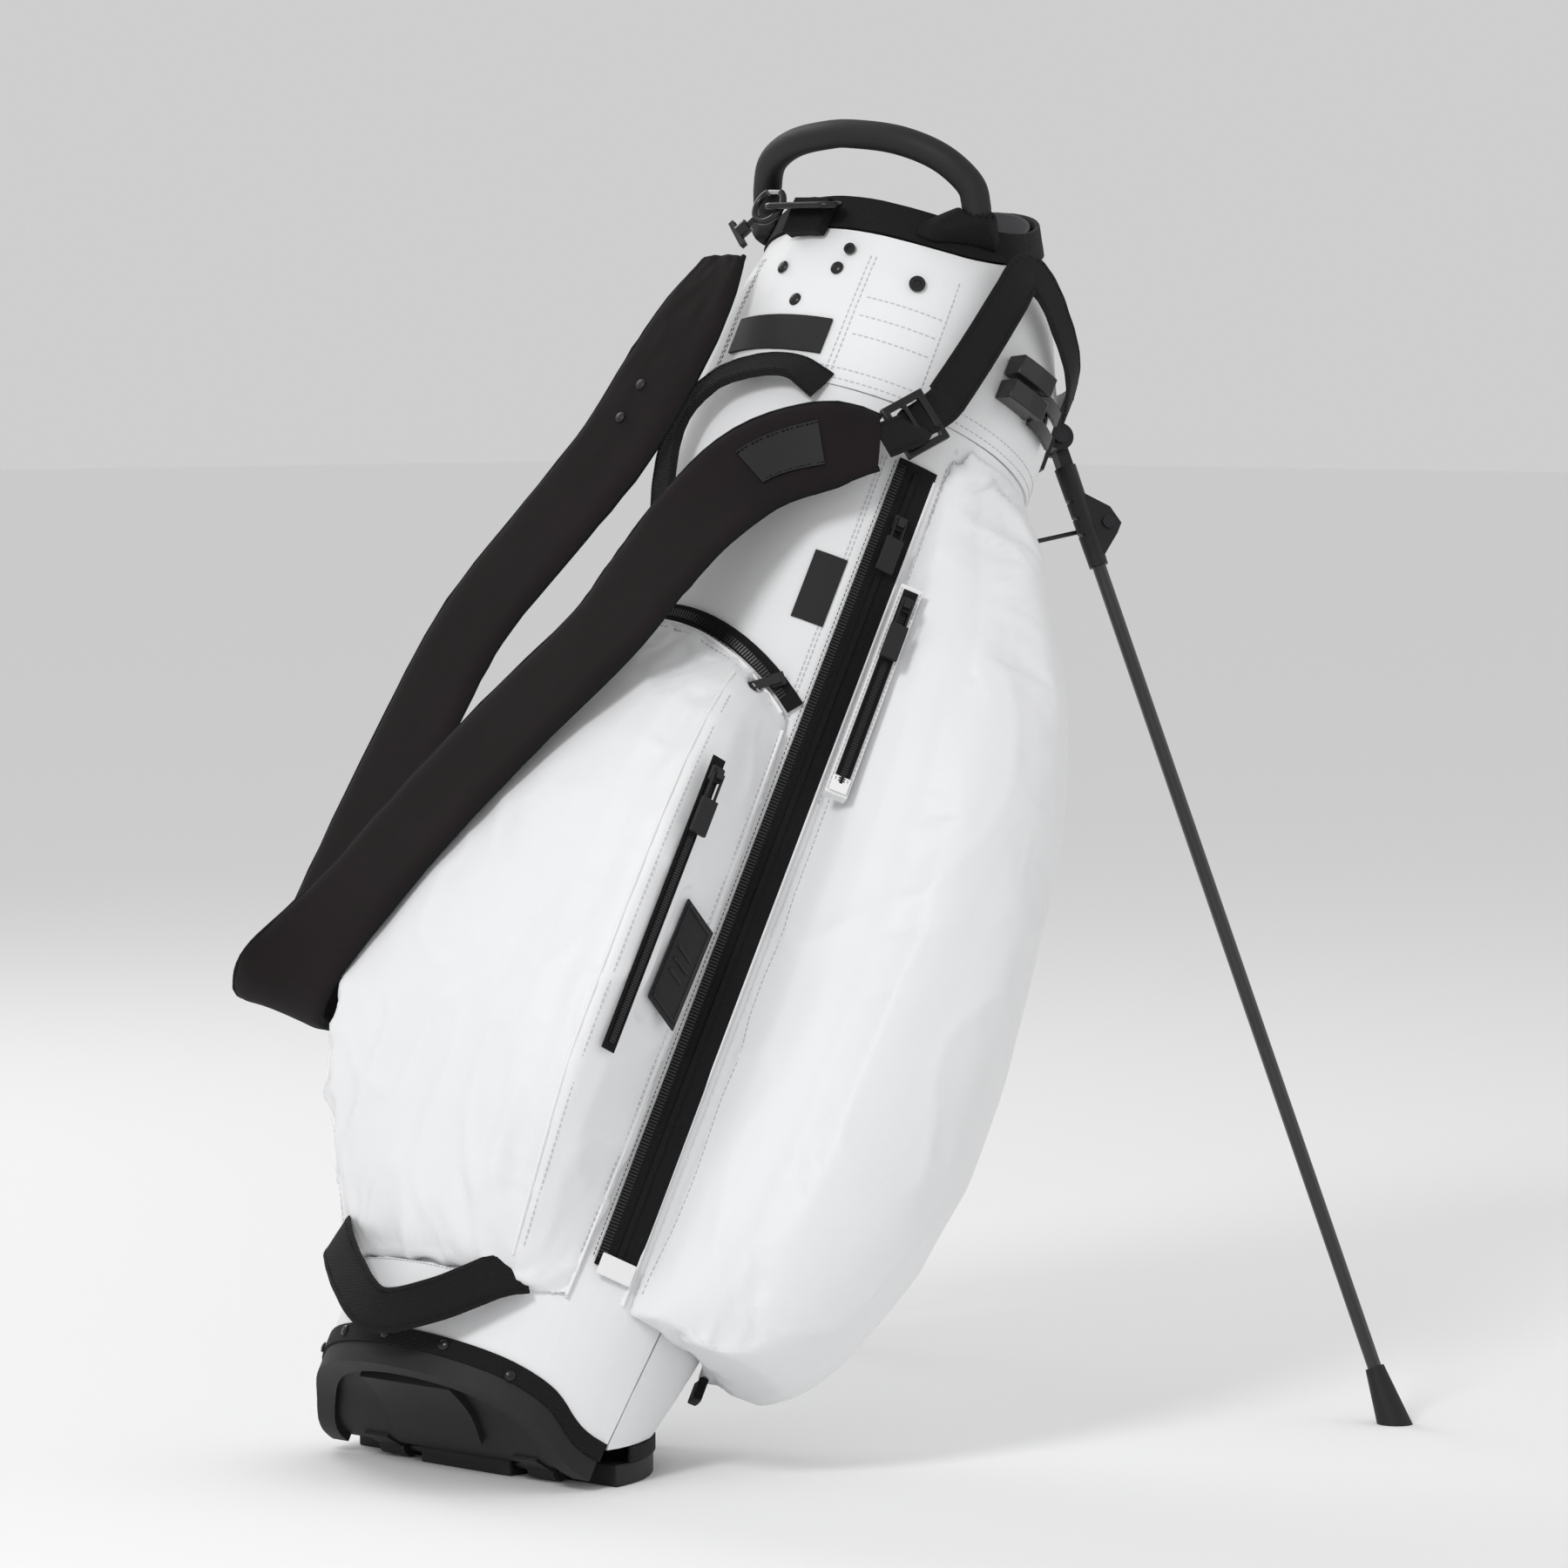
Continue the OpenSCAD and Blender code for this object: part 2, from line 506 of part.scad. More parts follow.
ear_gap = 13;
module leg_bracket() color(grey) {
  leaning() difference() {
    wrap(-34, 34, pivot_z - 34, pivot_z + 26, 2.8, 4);
    for (side = [-1, 1]) translate([pivot_x, side * pivot_y, pivot_z]) rotate([0, 0, side * splay_deg])
      rotate([90, 0, 0]) cylinder(r = 10.5, h = ear_gap, center = true, $fn = 48);
  }
  for (side = [-1, 1]) leg_place(side) difference() {
    for (y = [-ear_gap / 2 - 5, ear_gap / 2]) translate([0, y + 5, 0]) rotate([90, 0, 0]) {
      cylinder(r = 9.5, h = 5, $fn = 48);
      rotate([0, 0, 0]) translate([-11, -9.5, 0]) cube([11, 19, 5]);
    }
    rotate([90, 0, 0]) cylinder(r = 3, h = 40, center = true, $fn = 48);
  }
}

module bracket_screws() color(steel) for (side = [-1, 1]) leg_place(side) {
  rotate([90, 0, 0]) cylinder(r = 3, h = ear_gap + 10, center = true, $fn = 48);
  for (turn = [0, 180]) rotate([0, 0, turn]) translate([0, ear_gap / 2 + 5, 0]) rotate([-90, 0, 0])
    cylinder(r = 5, h = 2.4, $fn = 48);
}

module leg_fitting(side) color(grey) leg_swung(side) difference() {
  union() {
    rotate([90, 0, 0]) cylinder(r = 8.5, h = ear_gap - 1, center = true, $fn = 48);
    translate([-4.5, -(ear_gap - 1) / 2, -22]) cube([9, ear_gap - 1, 18]);
    translate([0, 0, -92]) cylinder(r1 = 6.6, r2 = 7.6, h = 72, $fn = 48);
    // Triangular lug for the wire link
    translate([0, 5, 0]) rotate([90, 0, 0]) linear_extrude(10) polygon([
      [4, -40], [lug_out + 5, -lug_drop + 10], [lug_out + 9, -lug_drop - 3], [lug_out + 4, -lug_drop - 9],
      [4, -lug_drop - 22]]);
  }
  rotate([90, 0, 0]) cylinder(r = 3.05, h = 40, center = true, $fn = 48);
  translate([0, 0, -93]) cylinder(r = leg_r, h = 44, $fn = 48);
  translate([lug_out, 0, -lug_drop]) rotate([90, 0, 0]) cylinder(r = 2.5, h = 30, center = true, $fn = 32);
  for (z = [-44, -56, -68]) translate([-9, -9, z]) rotate([0, 30, 0]) cube([5, 18, 2]);
}

module leg_tube(side) color(black) leg_swung(side) translate([0, 0, -leg_len + 26])
  cylinder(r = leg_r, h = leg_len - 26 - 50, $fn = 48);

module leg_boot(side) color(grey) difference() {
  leg_swung(side) difference() {
    translate([0, 0, -leg_len - 14]) cylinder(r1 = 13, r2 = 6.4, h = 54, $fn = 48);
    translate([0, 0, -leg_len + 26]) cylinder(r = leg_r, h = 20, $fn = 48);
  }
  translate([-2 * far, -2 * far, -far]) cube([4 * far, 4 * far, far]);
}

// Screw through the lug; it carries the link's eye on the side that faces the middle plane
eye_t = 10;
module lug_screws(side) color(steel) leg_swung(side) translate([lug_out, 0, -lug_drop]) scale([1, side, 1]) {
  translate([0, 5.2, 0]) rotate([90, 0, 0]) cylinder(r = 2.46, h = 18.2, $fn = 48);
  translate([0, 7, 0]) rotate([90, 0, 0]) cylinder(r = 4.4, h = 1.8, $fn = 32);
  translate([0, -eye_t - 2.6, 0]) rotate([90, 0, 0]) cylinder(r = 4.4, h = 1.6, $fn = 32);
}

// Actuator: a fork of rod behind the bag, lifted by the heel's rear tab
rod_r = 2.2;
rod_x = 115.5;
rod_low_y = 8;
head_y = 30;
head_z = 727;
bar_z = (hinge_local[2] - (hinge_z - tab_t - rod_r - 0.3) / cos(lean_deg))
  + (rod_x - hinge_local[0]) * tan(lean_deg);
rod_half = [[rod_x, 0, bar_z], [rod_x, rod_low_y - 3, bar_z], [rod_x, rod_low_y, bar_z + 3],
  [rod_x, rod_low_y, bar_z + 30], [rod_x, rod_low_y, 350], [rod_x, rod_low_y, 630],
  [rod_x, rod_low_y + 2, 644], [rod_x, head_y - 2, 680], [rod_x, head_y, 694], [rod_x, head_y, head_z - 8]];
module actuator_rod() color(black) leaning() {
  last = len(rod_half) - 1;
  sweep_round(concat([for (i = [last : -1 : 1]) [rod_half[i][0], -rod_half[i][1], rod_half[i][2]]], rod_half),
    rod_r, 16);
}
// Forked heads with slots that take up the linkage's lost motion
module rod_heads() color(grey) leaning() for (side = [-1, 1])
  translate([rod_x, side * head_y, head_z]) rotate([0, 0, side * splay_deg]) difference() {
    translate([-5, -4.6, -12]) cube([10, 9.2, 32]);
    translate([-20, -2.3, -5]) cube([40, 4.6, 60]);
    hull() for (z = [-2, 14]) translate([0, 0, z]) rotate([90, 0, 0]) cylinder(r = 2.2, h = 40, center = true, $fn = 32);
    translate([0, 0, -13]) cylinder(r = rod_r + 0.15, h = 6, $fn = 32);
  }
guide_heights = [150, 330, 520];
module rod_guides() color(grey) leaning() for (z = guide_heights) difference() {
  wrap(-9, 9, z, z + 20, 0.5, 11);
  for (side = [-1, 1]) translate([rod_x, side * rod_low_y, z - 1]) cylinder(r = rod_r + 0.5, h = 40, $fn = 32);
}

// Wire link: an eye on the lug's screw, a wire and a cross pin in the rod head's slot
lug_reach = lug_drop * sin(swing_deg) + lug_out * cos(swing_deg);
lug_fall = lug_drop * cos(swing_deg) - lug_out * sin(swing_deg);
// The rod head, seen from the lug along the swing, across it and upwards
head_s = (rod_x - pivot_x) * cos(splay_deg) + (head_y - pivot_y) * sin(splay_deg) - lug_reach;
head_t = -(rod_x - pivot_x) * sin(splay_deg) + (head_y - pivot_y) * cos(splay_deg);
head_u = head_z - pivot_z + lug_fall;
module wire_link(side) color(black) leg_place(side) translate([lug_reach, 0, -lug_fall]) scale([1, side, 1]) {
  difference() {
    union() {
      translate([0, -eye_t + 2.2, 0]) rotate([90, 0, 0]) cylinder(r = 5, h = 4.4, $fn = 48);
      sweep_round([[head_s * 0.045, -eye_t, head_u * 0.045], [head_s * 0.25, -eye_t - 0.4, head_u * 0.25],
        [head_s * 0.85, head_t + 0.4, head_u * 0.85], [head_s, head_t, head_u]], 1.6, 12);
      translate([head_s, head_t + 5.4, head_u]) rotate([90, 0, 0]) cylinder(r = 1.55, h = 10.8, $fn = 32);
    }
    translate([0, 0, 0]) rotate([90, 0, 0]) cylinder(r = 2.52, h = 60, center = true, $fn = 48);
  }
}

// ---- shoulder strap and its hardware ----

strap_path = [[-90, -112, 701], [-108, -88, 690], [-130, -56, 662], [-152, -42, 612], [-168, -36, 562],
  [-177, -24, 512], [-181, 20, 447], [-181, 68, 378], [-179, 106, 318], [-178, 134, 274], [-168, 155, 250],
  [-150, 168, 245], [-134, 177, 262], [-129, 184, 300], [-128, 185, 350], [-129, 171, 466], [-133, 152, 540],
  [-136, 112, 610], [-137, 79, 672], [-137, 62, 738], [-131, 60, 786], [-121, 64, 824]];
strap_faces = [[-0.62, -0.76, 0.15], [-0.72, -0.66, 0.18], [-0.85, -0.45, 0.25], [-0.93, -0.25, 0.25],
  [-0.97, -0.12, 0.2], [-0.99, -0.05, 0.12], [-1, 0, 0.03], [-1, 0, 0], [-1, -0.02, -0.05], [-0.93, 0, -0.35],
  [-0.6, 0, -0.8], [0, 0.1, -1], [0.8, 0.1, -0.6], [0.99, 0.05, -0.1], [1, 0, 0], [1, 0, 0], [1, 0, 0],
  [1, 0.02, 0], [1, 0.04, 0], [1, 0.06, 0], [0.98, 0.1, 0.05], [0.95, 0.1, 0.1]];
strap_widths = [40, 64, 74, 74, 74, 74, 74, 74, 74, 74, 74, 74, 74, 74, 74, 74, 74, 74, 74, 70, 56, 34];
module shoulder_strap() color(black) leaning()
  sweep_flat(smooth(strap_path, 4), smooth(strap_faces, 4), smooth(strap_widths, 4), 8);

module strap_buckle() color(grey) leaning() translate([-73, -118, 724]) rotate([0, 0, -127])
  rotate([-38, 0, 0]) rotate([0, 90, 0]) difference() {
    translate([-16, -19, -2.5]) cube([32, 38, 5]);
    for (x = [-11, 1.5]) translate([x, -14, -4]) cube([9.5, 28, 8]);
  }

web_path = [[-60, -124, 750], [-53, -125, 778], [-46, -125, 806], [-38, -124, 838], [-29, -121, 862],
  [-10, -122, 862], [16, -124, 846], [45, -119, 828], [70, -101, 812]];
web_faces = [[-0.5, -0.86, 0.05], [-0.42, -0.9, 0.05], [-0.36, -0.93, 0.08], [-0.3, -0.95, 0.12],
  [-0.15, -0.97, 0.2], [0.05, -0.98, 0.2], [0.2, -0.97, 0.15], [0.42, -0.9, 0.1], [0.62, -0.78, 0.05]];
module strap_webbing() color(black) leaning()
  sweep_flat(smooth(web_path, 3), smooth(web_faces, 3), 28, 2.4);

// Moulded keepers on the cuff that hold a towel or an umbrella
module keeper_straps() color(black) leaning() for (z = [782, 800]) {
  wrap(-99, -83, z - 8, z + 6, 1.2, 16.2);
  wrap(-83, -64, z - 11, z, 4.2, 3);
}

module strap_snaps() color(steel) leaning() for (m = [[-141.9, 79, 690], [-141.9, 72, 715]])
  translate(m) rotate([0, -90, 0]) rivet_head(4, 2);

// ---- ring and hook ----

ring_pin = [-113, 10, 868];
ring_reach = 16;
ring_tilt = 30;
module ring_place() translate(ring_pin) rotate([0, -ring_tilt, 0]) children();
module ring_tab() color(black) leaning() difference() {
  translate([ring_pin[0] - 4.5, -9, ring_pin[2] - 22]) cube([14, 34, 26.5]);
  translate([0, 60, 0]) translate([ring_pin[0], 0, ring_pin[2]]) rotate([90, 0, 0])
    cylinder(r = 2.4, h = 120, $fn = 32);
  top_skin([cuff_low, cuff_mid, cuff_bend, cuff_neck, collar_low, collar_rim, sunk(collar_rim, 20)], 1.8);
}
module d_ring() color(black) leaning() ring_place() {
  for (x = [0, -ring_reach]) translate([x, 22, 0]) rotate([90, 0, 0]) cylinder(r = 2.3, h = 44, $fn = 32);
  for (side = [-1, 1]) translate([-ring_reach / 2, side * 22, 0]) rotate([0, 0, side > 0 ? 0 : 180])
    rotate_extrude(angle = 180, $fn = 48) translate([ring_reach / 2, 0]) circle(r = 2.3, $fn = 32);
}

// Hook frame: its ring lies in its own XY plane, its shank runs out along +X
hook_r = 12;
hook_turn = 41.8;
module hook_place() translate([-120, 42, 864]) rotate([hook_turn, 0, 0]) rotate([0, 90, 0]) children();
module swivel_hook() color(grey) leaning() hook_place() {
  rotate([0, 0, 172]) rotate_extrude(angle = 296, $fn = 48) translate([hook_r, 0]) circle(r = 2.4, $fn = 32);
  translate([hook_r + 1, 0, 0]) rotate([0, 90, 0]) cylinder(r = 2.3, h = 6, $fn = 32);
}
module hook_gate() color(steel) leaning() hook_place() {
  from = [hook_r * cos(166), hook_r * sin(166), 0];
  to = [hook_r * cos(114), hook_r * sin(114), 0];
  turn = atan2(to[1] - from[1], to[0] - from[0]);
  translate(from) rotate([0, 0, turn]) rotate([0, 90, 0]) cylinder(r = 1.5, h = norm(to - from), $fn = 32);
}
module swivel_base() color(grey) leaning() hook_place() {
  translate([hook_r + 7.4, 0, 0]) rotate([0, 90, 0]) cylinder(r = 5, h = 8, $fn = 32);
  translate([hook_r + 15, -13, -2]) cube([4, 26, 4]);
}

body_tube();
spine_stays();
club_dividers();
divider_top();
collar_binding();
collar_ears();
top_handle();
cuff_panel();
cuff_patch();
cuff_studs();
garment_pocket();
ball_pocket();
accessory_pocket();
garment_zip();
garment_zip_slider();
garment_zip_pull();
chest_zip_slider();
chest_zip_pull();
short_zips();
valuables_zip_slider();
valuables_zip_pull();
ball_zip();
ball_zip_slider();
badges();
grab_handle();
base_handle();
base_handle_pad();
toe_shell();
toe_binding();
base_rivets();
base_hinge_pin();
heel_shell();
heel_binding();
heel_gusset();
rear_pull_loop();
leg_bracket();
bracket_screws();
leg_fitting(-1);  // near_leg_fitting
leg_tube(-1);  // near_leg_tube
leg_boot(-1);  // near_leg_boot
leg_fitting(1);  // far_leg_fitting
leg_tube(1);  // far_leg_tube
leg_boot(1);  // far_leg_boot
lug_screws(-1);  // lug_screws_near
lug_screws(1);  // lug_screws_far
actuator_rod();
rod_heads();
rod_guides();
wire_link(-1);  // near_wire_link
wire_link(1);  // far_wire_link
shoulder_strap();
strap_buckle();
strap_webbing();
keeper_straps();
strap_snaps();
ring_tab();
d_ring();
swivel_base();
swivel_hook();
hook_gate();
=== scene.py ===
"""Golf stand bag: soft goods, closures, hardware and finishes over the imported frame."""

import logging
import math
from dataclasses import dataclass
from enum import Enum
from typing import Callable, Iterable, Sequence

import bmesh
import bpy
from mathutils import Matrix, Vector, noise
from mathutils.bvhtree import BVHTree


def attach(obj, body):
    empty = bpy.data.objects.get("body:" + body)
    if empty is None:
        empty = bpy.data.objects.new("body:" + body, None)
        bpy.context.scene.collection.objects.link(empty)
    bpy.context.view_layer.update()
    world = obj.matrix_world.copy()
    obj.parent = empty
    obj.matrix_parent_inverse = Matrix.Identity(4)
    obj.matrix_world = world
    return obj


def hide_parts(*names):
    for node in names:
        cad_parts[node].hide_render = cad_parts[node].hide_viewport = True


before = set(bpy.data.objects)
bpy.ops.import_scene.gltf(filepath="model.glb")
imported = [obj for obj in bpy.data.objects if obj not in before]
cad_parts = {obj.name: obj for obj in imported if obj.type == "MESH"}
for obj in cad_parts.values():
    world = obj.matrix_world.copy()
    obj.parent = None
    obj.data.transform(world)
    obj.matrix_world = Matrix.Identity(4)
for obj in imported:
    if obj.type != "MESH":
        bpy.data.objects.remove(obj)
LOG = logging.getLogger("stand_bag")
MM = 0.001
LEAN = math.radians(29)
TUBE_RX, TUBE_RY = 0.110, 0.122
LEANING = Matrix.Rotation(LEAN, 4, "Y")
UPRIGHTING = LEANING.inverted()
CLOUD_SCALE, FINE_SCALE, THREAD_SCALE = 14.0, 900.0, 314.0
PRESS_FRAMES = 20
CLOTH_SLACK = -0.035
SEAM_REACH = 1.06
LOOK_FROM = 400
ARCH_MID, ARCH_HALF, ARCH_DROP = 179.8, 55.8, 46
POCKET_TOP, BALL_ZIP_TOP = 553, 562
CHEST_PLACE, CHEST_TURN, CHEST_LEAN = (-49, -147, 470), -128, 0.052
SIDE_PLACE, SIDE_TURN = (-137, -126.8, 243), -102
SEWING_PITCH = 0.0034
AIM = Vector((0.2424, -0.0422, 0.4314))
CAMERA_WAY = Vector((-0.7118, -0.6995, 0.0628))
CAMERA_AWAY, LENS = 4.5, 156.6
AIR_STRENGTH = 0.62


def leaned(x: float, y: float, z: float) -> Vector:
    """Point of the upright bag, in millimetres, moved to its leaning place in metres."""
    return LEANING @ Vector((x * MM, y * MM, z * MM))


class Surface(Enum):
    """How a finish's relief is patterned."""

    WEAVE = "weave"
    RIBS = "ribs"
    BRUSHED = "brushed"
    GRAIN = "grain"
    METAL = "metal"


@dataclass(frozen=True)
class Finish:
    """One finish: colours, gloss, relief and wear."""

    name: str
    surface: Surface
    light: tuple[float, float, float]
    dark: tuple[float, float, float]
    roughness: float
    pitch: float = 0.9
    relief: float = 0.15
    metallic: float = 0.0
    sheen: float = 0.0
    coat: float = 0.0
    spread: float = 0.10
    specular: float = 0.5

    def material(self) -> bpy.types.Material:
        """Builds the finish's node tree.

        Returns:
            The material, made once per finish.
        """
        found = bpy.data.materials.get(self.name)
        if found:
            return found
        mat = bpy.data.materials.new(self.name)
        mat.use_nodes = True
        tree = mat.node_tree
        shader = tree.nodes["Principled BSDF"]
        shader.inputs["Metallic"].default_value = self.metallic
        shader.inputs["Sheen Weight"].default_value = self.sheen
        shader.inputs["Coat Weight"].default_value = self.coat
        shader.inputs["Specular IOR Level"].default_value = self.specular
        coords = tree.nodes.new("ShaderNodeTexCoord")
        cloud = self._noise(tree, coords, CLOUD_SCALE, 4.0)
        fine = self._noise(tree, coords, FINE_SCALE / self.pitch, 2.0)
        blend = tree.nodes.new("ShaderNodeMix")
        blend.data_type = "RGBA"
        blend.inputs["A"].default_value = (*self.dark, 1)
        blend.inputs["B"].default_value = (*self.light, 1)
        ramp = tree.nodes.new("ShaderNodeMath")
        ramp.operation = "MULTIPLY_ADD"
        ramp.inputs[1].default_value = 0.65
        tree.links.new(cloud.outputs["Fac"], ramp.inputs[0])
        part = tree.nodes.new("ShaderNodeMath")
        part.operation = "MULTIPLY"
        part.inputs[1].default_value = 0.4
        tree.links.new(fine.outputs["Fac"], part.inputs[0])
        tree.links.new(part.outputs[0], ramp.inputs[2])
        tree.links.new(ramp.outputs[0], blend.inputs["Factor"])
        tree.links.new(blend.outputs["Result"], shader.inputs["Base Color"])
        rough = tree.nodes.new("ShaderNodeMapRange")
        rough.inputs["To Min"].default_value = max(0.03, self.roughness - self.spread)
        rough.inputs["To Max"].default_value = min(1.0, self.roughness + self.spread)
        tree.links.new(cloud.outputs["Fac"], rough.inputs["Value"])
        tree.links.new(rough.outputs["Result"], shader.inputs["Roughness"])
        height = self._height(tree, coords, fine)
        bump = tree.nodes.new("ShaderNodeBump")
        bump.inputs["Strength"].default_value = self.relief
        bump.inputs["Distance"].default_value = 0.0004 * self.pitch
        tree.links.new(height, bump.inputs["Height"])
        tree.links.new(bump.outputs["Normal"], shader.inputs["Normal"])
        return mat

    def _noise(
        self, tree: bpy.types.NodeTree, coords: bpy.types.Node, scale: float, detail: float
    ) -> bpy.types.Node:
        """Adds a noise on object coordinates."""
        node = tree.nodes.new("ShaderNodeTexNoise")
        node.inputs["Scale"].default_value = scale
        node.inputs["Detail"].default_value = detail
        tree.links.new(coords.outputs["Object"], node.inputs["Vector"])
        return node

    def _wave(
        self, tree: bpy.types.NodeTree, coords: bpy.types.Node, axis: str, turn: float
    ) -> bpy.types.Node:
        """Adds parallel threads along one object axis."""
        mapping = tree.nodes.new("ShaderNodeMapping")
        mapping.inputs["Rotation"].default_value = (0, -LEAN, turn)
        tree.links.new(coords.outputs["Object"], mapping.inputs["Vector"])
        node = tree.nodes.new("ShaderNodeTexWave")
        node.bands_direction = axis
        node.inputs["Scale"].default_value = THREAD_SCALE / self.pitch
        node.inputs["Distortion"].default_value = 0.6
        node.inputs["Detail Scale"].default_value = 2.0
        tree.links.new(mapping.outputs["Vector"], node.inputs["Vector"])
        return node

    def _height(
        self, tree: bpy.types.NodeTree, coords: bpy.types.Node, fine: bpy.types.Node
    ) -> bpy.types.NodeSocket:
        """Relief of the surface as one height socket."""
        if self.surface in (Surface.BRUSHED, Surface.GRAIN, Surface.METAL):
            return fine.outputs["Fac"]
        across = self._wave(tree, coords, "Z", 0.0)
        if self.surface is Surface.RIBS:
            return across.outputs["Fac"]
        along = self._wave(tree, coords, "Y", 0.7)
        both = tree.nodes.new("ShaderNodeMath")
        both.operation = "MULTIPLY"
        tree.links.new(across.outputs["Fac"], both.inputs[0])
        tree.links.new(along.outputs["Fac"], both.inputs[1])
        return both.outputs[0]


WHITE = Finish(
    "white_coated_weave", Surface.WEAVE, (0.86, 0.865, 0.875), (0.80, 0.805, 0.815), 0.52, 0.8,
    0.10, sheen=0.1
)
WHITE_TRIM = Finish(
    "white_trim", Surface.BRUSHED, (0.9, 0.9, 0.9), (0.82, 0.82, 0.83), 0.6, 1.2, 0.1
)
# Painted shade: the white thread is coloured grey, standing in for the shade in the stitch holes on
# the white cloth.
SHADED_THREAD = Finish(
    "white_thread_painted_shade", Surface.BRUSHED, (0.62, 0.62, 0.65), (0.45, 0.45, 0.48), 0.7, 0.6, 0.3
)
STRAP = Finish(
    "brushed_strap_cloth", Surface.BRUSHED, (0.020, 0.015, 0.016), (0.006, 0.005, 0.005), 0.95, 0.9,
    0.6, sheen=0.04, specular=0.12
)
MESH = Finish(
    "strap_lining", Surface.WEAVE, (0.012, 0.012, 0.014), (0.006, 0.006, 0.007), 0.85, 1.4, 0.5,
    specular=0.15
)
WEB = Finish(
    "ribbed_webbing", Surface.RIBS, (0.012, 0.012, 0.013), (0.004, 0.004, 0.005), 0.8, 1.6, 0.8,
    sheen=0.03, specular=0.2
)
TAPE = Finish(
    "zip_tape", Surface.WEAVE, (0.010, 0.010, 0.011), (0.004, 0.004, 0.005), 0.8, 1.2, 0.5,
    specular=0.2
)
NYLON = Finish(
    "zip_coil", Surface.GRAIN, (0.018, 0.018, 0.02), (0.008, 0.008, 0.009), 0.35, 1.0, 0.1
)
PLASTIC = Finish(
    "moulded_plastic", Surface.GRAIN, (0.020, 0.020, 0.022), (0.009, 0.009, 0.010), 0.44, 0.8, 0.35,
    specular=0.35
)
GLOSS = Finish(
    "gloss_plastic", Surface.GRAIN, (0.010, 0.010, 0.011), (0.005, 0.005, 0.006), 0.3, 0.8, 0.1,
    coat=0.15, specular=0.35
)
RUBBER = Finish(
    "soft_rubber", Surface.GRAIN, (0.020, 0.020, 0.022), (0.010, 0.010, 0.011), 0.6, 1.0, 0.4,
    specular=0.3
)
LEG_PAINT = Finish(
    "satin_black_tube", Surface.METAL, (0.022, 0.022, 0.024), (0.012, 0.012, 0.013), 0.34, 0.6,
    0.08, coat=0.3
)
STEEL = Finish(
    "brushed_steel", Surface.METAL, (0.62, 0.62, 0.64), (0.40, 0.40, 0.42), 0.30, 0.5, 0.15,
    metallic=1.0
)
BLACK_STEEL = Finish(
    "blackened_steel", Surface.METAL, (0.055, 0.055, 0.06), (0.025, 0.025, 0.028), 0.38, 0.5, 0.15,
    metallic=0.8
)
LINING = Finish(
    "lining_cloth", Surface.WEAVE, (0.05, 0.05, 0.055), (0.03, 0.03, 0.033), 0.85, 1.4, 0.4
)


def shade(obj: bpy.types.Object, angle: float = 35.0) -> None:
    """Smooth shading with creases above an angle in degrees."""
    mesh = obj.data
    bm = bmesh.new()
    bm.from_mesh(mesh)
    for face in bm.faces:
        face.smooth = True
    for edge in bm.edges:
        edge.smooth = len(edge.link_faces) != 2 or edge.calc_face_angle(0) < math.radians(angle)
    bm.to_mesh(mesh)
    bm.free()


def new_piece(
    name: str, bm: bmesh.types.BMesh, finish: Finish, body: str, angle: float = 35.0
) -> bpy.types.Object:
    """Turns a bmesh into a riding piece.

    Args:
        name: The piece's name.
        bm: Its shape, in metres; it is freed.
        finish: What it is dressed in.
        body: The body it moves with.
        angle: Crease angle in degrees.

    Returns:
        The piece.
    """
    mesh = bpy.data.meshes.new(name)
    bmesh.ops.recalc_face_normals(bm, faces=bm.faces)
    bm.to_mesh(mesh)
    bm.free()
    obj = bpy.data.objects.new(name, mesh)
    bpy.context.scene.collection.objects.link(obj)
    mesh.materials.append(finish.material())
    shade(obj, angle)
    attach(obj, body)
    return obj


def copy_of(node: str) -> bmesh.types.BMesh:
    """A merged copy of a CAD node's mesh."""
    bm = bmesh.new()
    bm.from_mesh(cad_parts[node].data)
    bmesh.ops.remove_doubles(bm, verts=bm.verts, dist=1e-6)
    bmesh.ops.dissolve_degenerate(bm, edges=bm.edges, dist=1e-6)
    return bm


def apply_modifiers(obj: bpy.types.Object) -> None:
    """Bakes an object's modifiers into its mesh."""
    evaluated = obj.evaluated_get(bpy.context.evaluated_depsgraph_get())
    baked = bpy.data.meshes.new_from_object(evaluated)
    obj.modifiers.clear()
    old = obj.data
    obj.data = baked
    bpy.data.meshes.remove(old)


@dataclass
class Wrinkles:
    """Soft folds pressed into a cloth surface."""

    depth: float
    scale: Vector
    seed: float
    keep: Callable[[Vector], float] = lambda p: 1.0

    def press(self, obj: bpy.types.Object) -> None:
        """Moves each vertex along its normal by the folds' height."""
        mesh = obj.data
        moved = []
        for vertex in mesh.vertices:
            p = UPRIGHTING @ vertex.co
            q = Vector(
                (p.x * self.scale.x, p.y * self.scale.y, p.z * self.scale.z)
            ) + Vector((self.seed,) * 3)
            bend = noise.noise_vector(q * 0.6) * 0.5
            ridge = 1 - 2 * abs(noise.noise((q + bend) * 1.7))
            h = 0.7 * noise.noise(q + bend) + 0.5 * ridge**3 - 0.25 + 0.2 * noise.noise(
                (q + bend) * 3.1
            )
            moved.append(vertex.co + vertex.normal * (h * self.depth * self.keep(p)))
        for vertex, place in zip(mesh.vertices, moved):
            vertex.co = place
        mesh.update()


